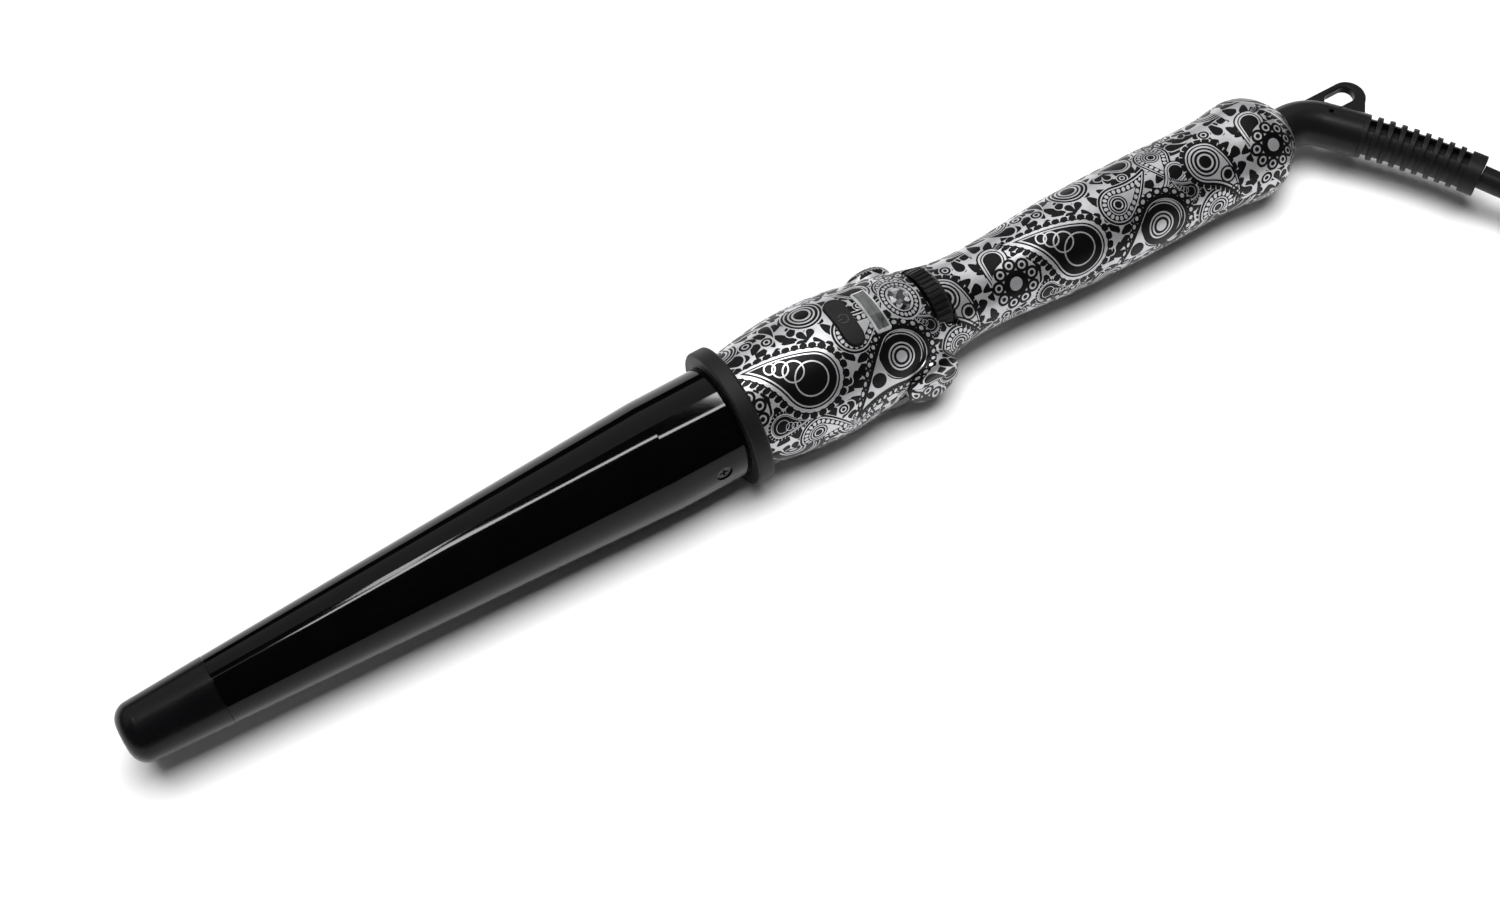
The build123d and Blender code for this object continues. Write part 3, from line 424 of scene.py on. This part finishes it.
# Motifs and their places (along, round, turn, size, flip), painted in this order.
PATTERN = (
    ("leaf", (
        (7.0, -26.5, 70, 0.9, 1), (14.5, -17.5, 20, 0.7, -1), (29.5, -22.5, 150, 0.75, 1),
        (31.0, -27.5, 190, 0.6, -1), (54.5, -28.0, 260, 0.9, 1), (59.5, -24.0, 200, 0.8, -1),
        (76.0, -25.0, 30, 0.85, 1), (79.0, -19.0, 60, 0.7, 1), (56.5, 1.5, 120, 0.8, 1),
        (63.0, 4.5, 240, 0.8, -1), (44.5, -5.2, 265, 0.75, 1), (8.0, 5.5, 80, 1.0, 1),
        (24.0, 4.0, 300, 0.6, -1), (77.5, 2.0, 15, 0.8, 1), (19.5, 11.0, 200, 0.8, 1),
        (51.0, 10.5, 100, 0.9, 1), (65.5, 10.5, 45, 0.8, 1), (1.0, 10.8, 45, 0.8, 1))),
    ("sprig", (
        (27.0, -0.6, 25, 0.85, 1), (28.8, -14.6, 250, 0.8, 1), (79.6, 6.0, 10, 0.8, 1),
        (9.8, -10.0, 75, 0.9, 1), (62.3, -15.2, 160, 0.7, 1), (41.0, 8.0, 190, 0.8, 1),
        (1.0, -21.5, 310, 0.9, 1), (13.0, -28.5, 10, 0.8, 1), (70.0, 9.0, 140, 0.7, 1))),
    ("small_eye", (
        (27.5, -22.6, 0, 0.75, 1), (17.5, 5.6, 0, 0.8, 1), (12.5, 8.6, 0, 0.9, 1),
        (66.5, -11.5, 0, 0.75, 1), (44.5, 2.6, 0, 0.7, 1), (35.5, -29.5, 0, 0.8, 1),
        (73.5, 3.2, 0, 0.8, 1), (-3.0, -18.2, 0, 0.9, 1), (46.5, -29.6, 0, 1.0, 1))),
    ("beaded", (
        (19.5, -26.0, 262, 1.0, 1), (68.5, -19.5, 200, 1.2, -1), (38.5, -4.2, 275, 1.05, -1),
        (56.0, 4.6, 170, 0.92, -1))),
    ("lined_leaf", ((-1.5, -0.8, 140, 1.0, -1), (59.0, -3.2, 140, 0.78, 1), (47.0, 8.0, 80, 0.9, 1))),
    ("chain", ((60.5, -10.2, 60, 0.33, 1), (10.3, -17.6, 235, 0.42, -1))),
    ("eye", ((30.0, 8.6, 0, 1.0, 1), (81.0, 12.5, 0, 0.9, 1), (6.0, 12.0, 0, 0.85, 1))),
    ("twin", ((68.5, -4.6, 232, 1.0, 1),)),
    ("flower", ((1.5, -9.8, 8, 1.0, 1), (60.5, 12.8, 0, 0.8, 1))),
    ("ringed", ((49.2, -15.6, 100, 1.0, -1),)),
    ("chain", ((22.3, -10.4, 35, 1.07, -1),)))


def seeds(g, point):
    """Dark seeds strewn over the silver, each turned its own way."""
    cells = g.node("ShaderNodeTexVoronoi", voronoi_dimensions="2D", feature="F1")
    g.wire(point, cells.inputs["Vector"])
    cells.inputs["Scale"].default_value = SEED_SCALE
    cells.inputs["Randomness"].default_value = SEED_JITTER
    away = g.vector("SUBTRACT", point, cells.outputs["Position"])
    tone = g.split(cells.outputs["Color"])
    angle = g.math("MULTIPLY", tone[0], 2 * math.pi)
    x, y, _ = g.split(away)
    c, s = g.math("COSINE", angle), g.math("SINE", angle)
    along = g.math("ADD", g.math("MULTIPLY", x, c), g.math("MULTIPLY", y, s))
    across = g.math("SUBTRACT", g.math("MULTIPLY", y, c), g.math("MULTIPLY", x, s))
    narrow = g.math("MULTIPLY_ADD", along, SEED_TAPER, SEED_WIDTH)
    reach = g.vector("LENGTH", g.combine(along, g.math("MULTIPLY", across, narrow)))
    return g.math("LESS_THAN", reach, g.math("MULTIPLY_ADD", tone[1], SEED_SPREAD * SEED_R, SEED_R))


def printed(g, point):
    """Ink of the whole pattern at an unrolled point of the handle."""
    ink = seeds(g, point)
    for motif, places in PATTERN:
        for place in places:
            made = g.node("ShaderNodeGroup", node_tree=MOTIFS[motif])
            after = g.vector("MULTIPLY_ADD", ink, (ORDER, ORDER, ORDER), point)
            g.wire(g.place(after, *place), made.inputs[0])
            ink = g.mix(made.outputs["Cover"], ink, made.outputs["Ink"])
    return (ink,)


def unrolled(g, point):
    """The handle's surface laid flat, in millimetres along it and round it from the top or the bottom.

    Gives the point folded into the repeating pattern, 1 on the upper shell, and the point unfolded.
    """
    made = g.node("ShaderNodeMapping", vector_type="POINT")
    g.wire(point, made.inputs["Vector"])
    c, s = math.cos(DROOP), math.sin(DROOP)
    made.inputs["Scale"].default_value = (1 / MM, 1 / MM, 1 / MM)
    made.inputs["Rotation"].default_value = (0, -DROOP, 0)
    made.inputs["Location"].default_value = ((X_MID * c + FLOOR_UP * s) / MM, 0,
                                             (X_MID * s - FLOOR_UP * c) / MM)
    x, y, z = g.split(made.outputs[0])
    lower = g.math("LESS_THAN", z, 0.0)
    reach = g.vector("LENGTH", g.combine(y, z))
    around = g.math("MULTIPLY", g.math("ARCTAN2", y, g.math("ABSOLUTE", z)), reach)
    flat = g.combine(x, around)
    around = g.math("MULTIPLY_ADD", lower, LOWER_SHIFT[1], around)
    turns = g.math("FLOOR", g.math("DIVIDE", g.math("SUBTRACT", around, ROUND_FROM), ROUND))
    around = g.math("MULTIPLY_ADD", turns, -ROUND, around)
    x = g.math("MULTIPLY_ADD", lower, LOWER_SHIFT[0], g.math("MULTIPLY_ADD", turns, ROUND_SHIFT, x))
    x = g.math("FLOORED_MODULO", g.math("SUBTRACT", x, REPEAT_FROM), REPEAT)
    x = g.math("ADD", x, REPEAT_FROM)
    return g.combine(x, around), g.math("SUBTRACT", 1.0, lower), flat


PRINT = group("paisley_print", ("Ink",), printed)


def pattern_ink(g, point):
    """The repeating print, with one ring of beads round the stone on top."""
    folded, upper, flat = unrolled(g, point)
    made = g.node("ShaderNodeGroup", node_tree=PRINT)
    g.wire(folded, made.inputs[0])
    halo = g.node("ShaderNodeGroup", node_tree=MOTIFS["halo"])
    after = g.vector("MULTIPLY_ADD", made.outputs[0], (ORDER, ORDER, ORDER), flat)
    g.wire(g.place(after, *HALO_AT), halo.inputs[0])
    return g.mix(g.math("MULTIPLY", halo.outputs["Cover"], upper), made.outputs[0], halo.outputs["Ink"])


# ---- materials -------------------------------------------------------------------------------------
BROAD_GRAIN = 40                          # how many fine grains a broad one is wide
ROUGH_SPREAD = 0.24                       # roughness, from the smoothest broad grains to the roughest


def new_material(name):
    """A material, its graph, its shader and the socket of the object's own coordinates, in metres."""
    made = jacket if name == jacket.name else bpy.data.materials.new(name)
    made.use_nodes = True
    g = Graph(made.node_tree)
    shader = made.node_tree.nodes["Principled BSDF"]
    return made, g, shader, g.node("ShaderNodeTexCoord").outputs["Object"]


def bumped(g, shader, height, depth):
    """Bumps as deep as depth, in metres, where height is 1."""
    made = g.node("ShaderNodeBump")
    made.inputs["Distance"].default_value = depth
    g.wire(height, made.inputs["Height"])
    g.wire(made.outputs[0], shader.inputs["Normal"])


def moulded(name, color, rough, grain=2500.0, depth=0.00002, metal=0.0, coat=0.0, specular=0.5, tone=0.25,
            streak=(1, 1, 1)):
    """Plastic, rubber or metal with a fine grain in its height, gloss and tone."""
    made, g, shader, point = new_material(name)
    point = g.vector("MULTIPLY", point, streak)
    fine = g.noise(point, grain, 3.0)
    broad = g.noise(point, grain / BROAD_GRAIN, 3.0)
    light = tuple(min(1.0, c * (1 + tone) + 0.002) for c in color)
    dark = tuple(c * (1 - tone) for c in color)
    both = g.math("MULTIPLY", g.math("ADD", fine, broad), 0.5)
    g.wire(g.blend(both, (*dark, 1), (*light, 1)), shader.inputs["Base Color"])
    uneven = g.math("MULTIPLY", g.math("SUBTRACT", broad, 0.5), ROUGH_SPREAD)
    g.wire(g.math("ADD", uneven, rough, clamp=True), shader.inputs["Roughness"])
    shader.inputs["Metallic"].default_value = metal
    shader.inputs["Coat Weight"].default_value = coat
    shader.inputs["Coat Roughness"].default_value = 0.08
    shader.inputs["Specular IOR Level"].default_value = specular
    bumped(g, shader, fine, depth)
    return made


def clear(name, color, rough):
    """Clear plastic with faint rubbed marks."""
    made, g, shader, point = new_material(name)
    shader.inputs["Transmission Weight"].default_value = 1.0
    shader.inputs["IOR"].default_value = 1.46
    haze = g.noise(point, 900.0, 4.0)
    dull = tuple(c * 0.94 for c in color)
    g.wire(g.blend(haze, (*color, 1), (*dull, 1)), shader.inputs["Base Color"])
    g.wire(g.math("MULTIPLY_ADD", haze, 0.04, rough), shader.inputs["Roughness"])
    return made


def smoked(name, dark, light):
    """Polished smoked acrylic with cloudy streaks."""
    made, g, shader, point = new_material(name)
    cloud = g.noise(g.vector("MULTIPLY", point, (1, 0.35, 1)), 420.0, 3.0)
    sharper = g.math("MULTIPLY_ADD", g.math("SUBTRACT", cloud, 0.5), 2.2, 0.5, clamp=True)
    g.wire(g.blend(sharper, (*dark, 1), (*light, 1)), shader.inputs["Base Color"])
    g.wire(g.math("MULTIPLY_ADD", cloud, 0.05, 0.04), shader.inputs["Roughness"])
    shader.inputs["Specular IOR Level"].default_value = 0.8
    shader.inputs["Coat Weight"].default_value = 0.6
    shader.inputs["Coat Roughness"].default_value = 0.03
    bumped(g, shader, cloud, 0.00004)
    return made


def stone_with_painted_reflections():
    """Stone with painted reflections: crisp cells of dark and light in its colour stand in for what its facets
    mirror.
    """
    made, g, shader, point = new_material("clear_stone")
    # Cells of dark and light tone: painted reflections of the facets.
    cells = g.node("ShaderNodeTexVoronoi", feature="F1")
    g.wire(point, cells.inputs["Vector"])
    cells.inputs["Scale"].default_value = 950.0
    tone = g.split(cells.outputs["Color"])[0]
    g.wire(g.blend(g.math("POWER", tone, 2.5), (0.010, 0.010, 0.011, 1), (0.62, 0.62, 0.64, 1)),
           shader.inputs["Base Color"])
    g.wire(g.math("MULTIPLY_ADD", tone, 0.06, 0.04), shader.inputs["Roughness"])
    shader.inputs["Metallic"].default_value = 0.35
    shader.inputs["Coat Weight"].default_value = 1.0
    shader.inputs["Coat Roughness"].default_value = 0.03
    return made


def printed_shell():
    """Silver film with black print under a satin coat."""
    made, g, shader, point = new_material("printed_shell")
    ink = pattern_ink(g, point)
    sparkle = g.noise(point, 5200.0, 1.0)
    broad = g.noise(point, 60.0, 2.0)
    flake = g.math("MULTIPLY_ADD", g.math("SUBTRACT", sparkle, 0.5), 0.9, broad, clamp=True)
    silver = g.blend(flake, (0.37, 0.37, 0.38, 1), (0.76, 0.76, 0.78, 1))
    g.wire(g.blend(ink, silver, (0.002, 0.002, 0.0023, 1)), shader.inputs["Base Color"])
    g.wire(g.math("MULTIPLY_ADD", ink, -0.72, 0.72), shader.inputs["Metallic"])
    satin = g.math("MULTIPLY_ADD", ink, 0.06, 0.26)
    g.wire(g.math("MULTIPLY_ADD", sparkle, 0.16, satin), shader.inputs["Roughness"])
    shader.inputs["Specular IOR Level"].default_value = 0.16
    bumped(g, shader, g.math("MULTIPLY_ADD", sparkle, 0.3, ink), 0.000012)
    return made


def barrel_coating():
    """Polished black coating with a faint haze drawn out along the barrel."""
    made, g, shader, point = new_material("barrel_coating")
    haze = g.noise(g.vector("MULTIPLY", point, (0.25, 1, 1)), 420.0, 4.0)
    fine = g.noise(point, 3500.0, 2.0)
    g.wire(g.blend(haze, (0.0006, 0.0006, 0.0008, 1), (0.0017, 0.0016, 0.0019, 1)),
           shader.inputs["Base Color"])
    g.wire(g.math("MULTIPLY_ADD", haze, 0.035, 0.035), shader.inputs["Roughness"])
    shader.inputs["Specular IOR Level"].default_value = 0.18
    bumped(g, shader, fine, 0.0000012)
    return made


MOULDED = {
    "tip_plastic": dict(color=(0.002, 0.002, 0.0025), rough=0.25, grain=1500.0, depth=0.000014, specular=0.17,
                        tone=0.5),
    "blackened_steel": dict(color=(0.03, 0.03, 0.032), rough=0.30, grain=1800.0, depth=0.00001, metal=0.8),
    "insulating_plastic": dict(color=(0.05, 0.045, 0.04), rough=0.6),
    "guard_rubber": dict(color=(0.006, 0.006, 0.0065), rough=0.52, grain=1700.0, depth=0.00003, specular=0.2,
                         tone=0.6),
    "heater_ceramic": dict(color=(0.75, 0.73, 0.68), rough=0.45),
    "bare_aluminium": dict(color=(0.7, 0.7, 0.72), rough=0.35, metal=1.0, streak=(0.05, 1, 1)),
    "bare_steel": dict(color=(0.55, 0.55, 0.56), rough=0.3, metal=1.0),
    "sleeved_wire": dict(color=(0.7, 0.67, 0.6), rough=0.75, grain=1200.0, depth=0.00008),
    "board_laminate": dict(color=(0.02, 0.16, 0.06), rough=0.3, coat=0.4),
    "capacitor_case": dict(color=(0.45, 0.09, 0.04), rough=0.25, coat=0.5),
    "chip_plastic": dict(color=(0.02, 0.02, 0.02), rough=0.55),
    "black_plastic": dict(color=(0.015, 0.015, 0.016), rough=0.42),
    "button_rubber": dict(color=(0.009, 0.009, 0.0095), rough=0.55, grain=2600.0, specular=0.2, tone=0.5),
    "symbol_rubber": dict(color=(0.03, 0.03, 0.032), rough=0.32, grain=2600.0, depth=0.00001),
    "display_plastic": dict(color=(0.012, 0.012, 0.013), rough=0.2, coat=0.5),
    "dial_plastic": dict(color=(0.005, 0.005, 0.0055), rough=0.36, grain=2200.0, depth=0.000015, specular=0.2),
    "stand_plastic": dict(color=(0.035, 0.035, 0.037), rough=0.45, grain=1800.0, depth=0.00003),
    "elbow_plastic": dict(color=(0.005, 0.005, 0.0055), rough=0.38, grain=1600.0, specular=0.2, tone=0.4),
    "contact_brass": dict(color=(0.72, 0.56, 0.27), rough=0.22, metal=1.0),
    "relief_rubber": dict(color=(0.006, 0.006, 0.0065), rough=0.45, grain=1600.0, specular=0.2, tone=0.4),
    "lead_jacket": dict(color=(0.006, 0.006, 0.0065), rough=0.40, grain=1500.0, specular=0.2, tone=0.4),
    "tie_strap": dict(color=(0.02, 0.02, 0.021), rough=0.85, grain=1400.0, depth=0.0001),
    "plug_plastic": dict(color=(0.012, 0.012, 0.013), rough=0.45, grain=1500.0, depth=0.00003),
    "sleeve_plastic": dict(color=(0.012, 0.012, 0.012), rough=0.25, coat=0.3)}

finish = {name: moulded(name, **looks) for name, looks in MOULDED.items()}
finish["cord_jacket"] = jacket
finish["barrel_coating"] = barrel_coating()
finish["printed_shell"] = printed_shell()
finish["sensor_glass"] = clear("sensor_glass", (0.8, 0.65, 0.45), 0.1)
finish["clear_window"] = smoked("clear_window", (0.006, 0.007, 0.007), (0.12, 0.125, 0.125))
# The rim's smoke is much lighter than the panel's: a painted highlight for the light its bevel catches.
finish["window_rim_painted_highlight"] = smoked("window_rim_painted_highlight", (0.16, 0.165, 0.165), (0.46, 0.47, 0.47))
# The stone's colour holds painted reflections in crisp cells.
finish["clear_stone"] = stone_with_painted_reflections()

for row in frame["record"]["subparts"]:
    for spot in frame["nodes"][row["node"]].material_slots:
        spot.link = "OBJECT"
        spot.material = finish[row["material_slot"]]

# ---- power symbol, window and stone ----------------------------------------------------------------
# Millimetres in the handle's frame. A top's radius is the distance of its crown from the handle's axis.
BUTTON_X, BUTTON_TOP_R, BUTTON_SLOPE = 38.1, 20.0, -0.06
SYMBOL_R, SYMBOL_HALF, SYMBOL_RISE, SYMBOL_DEEP = 1.35, 0.16, 0.14, -0.2
SYMBOL_GAP, SYMBOL_STEPS = math.radians(35), 40
SYMBOL_BAR = (1.25, 0.25, 5)              # from, to, in shares of SYMBOL_R from the middle, and steps

LENS_X, LENS_TOP_R, LENS_SLOPE, LENS_DEEP = 47.0, 18.40, -0.135, 1.8
LENS_ACROSS = (-2.4, -1.75, -1.6, 1.6, 1.75, 2.4)
LENS_ALONG = (-7.25, -6.55, -6.35, -4.2, -2.1, 0.0, 2.1, 4.2, 6.35, 6.55, 7.25)
LENS_DROPS = (0.40, 0.02, 0.14)           # rim's foot, rim's top, sunk panel
LENS_CORNER = 0.22

BADGE_X, BADGE_Z, BADGE_RX, BADGE_RY = 56.2, 15.22, 2.9, 4.1
STONE_SIDES = 10
STONE_RINGS = ((1.0, 0.0, 0), (1.0, 0.75, 0), (0.80, 1.25, 1), (0.52, 1.58, 0))   # share, rise, half turns


def crown(x, y, middle, radius, slope):
    """Point (x, y) on a crowned top whose radius changes along the handle."""
    reach = radius + slope * (x - middle)
    return placed(x, y, math.sqrt(reach * reach - y * y))


def mesh_piece(name, mesh, body, looks):
    """Turns a bmesh into a piece that rides on a body."""
    bmesh.ops.recalc_face_normals(mesh, faces=mesh.faces)
    data = bpy.data.meshes.new(name)
    mesh.to_mesh(data)
    mesh.free()
    made = put(bpy.data.objects.new(name, data))
    for look in looks:
        made.data.materials.append(finish[look])
    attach(made, body)
    return made


def ribbon(mesh, middle):
    """A raised ribbon along points (x, y) of the button's top."""
    section = ((-1, SYMBOL_DEEP), (-1, SYMBOL_RISE * 0.6), (-0.6, SYMBOL_RISE), (0.6, SYMBOL_RISE),
               (1, SYMBOL_RISE * 0.6), (1, SYMBOL_DEEP))
    rows = []
    for step, (x, y) in enumerate(middle):
        ahead = middle[min(step + 1, len(middle) - 1)]
        behind = middle[max(step - 1, 0)]
        way = Vector((ahead[0] - behind[0], ahead[1] - behind[1])).normalized()
        side = Vector((-way.y, way.x)) * SYMBOL_HALF
        rows.append([mesh.verts.new(crown(x + side.x * share, y + side.y * share, BUTTON_X,
                                          BUTTON_TOP_R + rise, BUTTON_SLOPE)) for share, rise in section])
    for a, b in zip(rows, rows[1:]):
        for step in range(len(a)):
            after = (step + 1) % len(a)
            mesh.faces.new((a[step], a[after], b[after], b[step]))
    mesh.faces.new(rows[0][::-1])
    mesh.faces.new(rows[-1])


def power_symbol():
    """Raised open ring with a bar in its gap, on the button."""
    mesh = bmesh.new()
    sweep = 2 * math.pi - 2 * SYMBOL_GAP
    arc = [SYMBOL_GAP + sweep * step / SYMBOL_STEPS for step in range(SYMBOL_STEPS + 1)]
    ribbon(mesh, [(BUTTON_X - SYMBOL_R * math.cos(a), SYMBOL_R * math.sin(a)) for a in arc])
    outer, inner, steps = SYMBOL_BAR
    shares = [outer + (inner - outer) * step / steps for step in range(steps + 1)]
    ribbon(mesh, [(BUTTON_X - SYMBOL_R * share, 0.0) for share in shares])
    mesh_piece("power_symbol", mesh, "power_button", ("symbol_rubber",))


def window_sheet(mesh, deep):
    """Rows of the window's points: its rimmed top, or where deep is given its plain underside."""
    last_x, last_y = len(LENS_ACROSS) - 1, len(LENS_ALONG) - 1
    rows = []
    for i, across in enumerate(LENS_ACROSS):
        row = []
        for j, along in enumerate(LENS_ALONG):
            corner = LENS_CORNER if i in (0, last_x) and j in (0, last_y) else 0.0
            x, y = across - math.copysign(corner, across), along - math.copysign(corner, along)
            drop = deep or LENS_DROPS[min(i, j, last_x - i, last_y - j, 2)]
            row.append(mesh.verts.new(crown(LENS_X + x, y, LENS_X, LENS_TOP_R - drop, LENS_SLOPE)))
        rows.append(row)
    return rows


def window():
    """Crowned window with a bevelled rim round a slightly sunk panel; the rim's lighter finish is a painted
    highlight.
    """
    mesh = bmesh.new()
    sheets = [window_sheet(mesh, deep) for deep in (0.0, LENS_DEEP)]
    last_x, last_y = len(LENS_ACROSS) - 1, len(LENS_ALONG) - 1
    for rows in sheets:
        for i in range(last_x):
            for j in range(last_y):
                face = mesh.faces.new((rows[i][j], rows[i + 1][j], rows[i + 1][j + 1], rows[i][j + 1]))
                panel = 0 < i < last_x - 1 and 0 < j < last_y - 1
                face.material_index = 0 if panel else 1
    top, bottom = ([row[0] for row in rows] + rows[-1][1:] + [row[-1] for row in rows[-2::-1]]
                   + rows[0][-2:0:-1] for rows in sheets)
    for step in range(len(top)):
        after = (step + 1) % len(top)
        mesh.faces.new((top[step], top[after], bottom[after], bottom[step])).material_index = 1
    made = mesh_piece("window", mesh, "root", ("clear_window", "window_rim_painted_highlight"))
    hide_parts("display_lens")


def stone():
    """Oval stone cut in flat facets."""
    mesh = bmesh.new()
    rows = []
    for share, rise, half in STONE_RINGS:
        angles = [math.pi / STONE_SIDES * (2 * step + half) for step in range(STONE_SIDES)]
        spots = [(BADGE_X + BADGE_RX * share * math.cos(a), BADGE_RY * share * math.sin(a)) for a in angles]
        rows.append([mesh.verts.new(placed(x, y, BADGE_Z + rise)) for x, y in spots])
    low, girdle, facets, table = rows
    for step in range(STONE_SIDES):
        after = (step + 1) % STONE_SIDES
        mesh.faces.new((low[step], low[after], girdle[after], girdle[step]))
        mesh.faces.new((girdle[step], girdle[after], facets[step]))
        mesh.faces.new((facets[step], girdle[after], facets[after]))
        mesh.faces.new((facets[step], facets[after], table[after]))
        mesh.faces.new((facets[step], table[after], table[step]))
    mesh.faces.new(low[::-1])
    mesh.faces.new(table)
    made = mesh_piece("stone", mesh, "root", ("clear_stone",))
    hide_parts("badge_jewel")


power_symbol()
window()
stone()

# ---- floor and light -------------------------------------------------------------------------------
FLOOR_R, FLOOR_SIDES = 0.95, 128
RIM_UP = 1.0                              # height of the softbox's lit edges over the floor


def matt_floor():
    """Matt white, very slightly uneven."""
    made, g, shader, point = new_material("pale_floor")
    g.wire(g.blend(g.noise(point, 30.0, 2.0), (0.90, 0.90, 0.90, 1), (0.92, 0.92, 0.92, 1)),
           shader.inputs["Base Color"])
    shader.inputs["Roughness"].default_value = 0.7
    shader.inputs["Specular IOR Level"].default_value = 0.2
    return made


def round_floor():
    mesh = bpy.data.meshes.new("floor")
    turns = [2 * math.pi * step / FLOOR_SIDES for step in range(FLOOR_SIDES)]
    edge = [(FLOOR_R * math.cos(turn), FLOOR_R * math.sin(turn), 0) for turn in turns]
    mesh.from_pydata(edge, [], [range(FLOOR_SIDES)])
    mesh.materials.append(matt_floor())
    put(bpy.data.objects.new("floor", mesh))


def white_backdrop():
    """A world that only the camera sees, so it lights nothing."""
    world = bpy.data.worlds.new("studio")
    bpy.context.scene.world = world
    world.use_nodes = True
    backdrop = world.node_tree.nodes["Background"]
    backdrop.inputs["Color"].default_value = (1.0, 1.0, 1.0, 1)
    backdrop.inputs["Strength"].default_value = 1.0
    world.cycles_visibility.diffuse = False
    world.cycles_visibility.glossy = False


def area_light(name, place, target, width, height, power, diffuse=True, glossy=False):
    """A panel facing its target; diffuse and glossy say which of its light surfaces show."""
    light = bpy.data.lights.new(name, "AREA")
    light.shape = "RECTANGLE"
    light.size, light.size_y = width, height
    light.energy = power
    made = put(bpy.data.objects.new(name, light))
    made.location = place
    made.rotation_euler = (Vector(target) - Vector(place)).to_track_quat("-Z", "Y").to_euler()
    made.visible_diffuse, made.visible_glossy = diffuse, glossy
    return made


def rim_light(name, start, end, width, brightness):
    """A level lit edge of the softbox, which only gloss shows."""
    middle = ((start[0] + end[0]) / 2, (start[1] + end[1]) / 2)
    long = math.dist(start, end) + width
    power = brightness * math.pi * width * long
    made = area_light(name, (*middle, RIM_UP), (*middle, 0.0), width, long, power, diffuse=False, glossy=True)
    made.rotation_euler = (0, 0, math.atan2(start[0] - end[0], end[1] - start[1]))


bpy.context.scene.view_settings.view_transform = "Standard"
round_floor()
white_backdrop()
area_light("softbox", (0.02, 0.03, 1.8), (0.02, 0.03, 0.0), 1.3, 1.10, 48.0)
area_light("overhead", (0.0, 0.2, 2.0), (0.0, 0.0, 0.0), 2.6, 2.6, 4.5)
area_light("rear", (0.3, 1.6, 1.2), (0.0, 0.0, 0.0), 2.2, 0.9, 3.0)
area_light("front_fill", (-0.6, -1.6, 1.1), (0.0, 0.0, 0.0), 2.0, 1.2, 1.0)
area_light("backdrop", (0.0, 1.9, 1.0), (0.0, 1.9, 0.0), 4.0, 3.0, 26.0, diffuse=False, glossy=True)
rim_light("rim_near", (0.21, -0.05), (-0.10, 0.24), 0.06, 28.6)
rim_light("rim_tip", (-0.10, 0.24), (-0.20, 0.20), 0.06, 26)
rim_light("rim_tip_end", (-0.20, 0.20), (-0.30, 0.19), 0.05, 1.6)
rim_light("rim_far", (0.22, 0.46), (-0.03, 0.57), 0.06, 31.2)
rim_light("rim_far_tip", (-0.03, 0.57), (-0.15, 0.30), 0.06, 23.4)
rim_light("rim_guard", (0.215, -0.05), (0.225, 0.46), 0.010, 52)
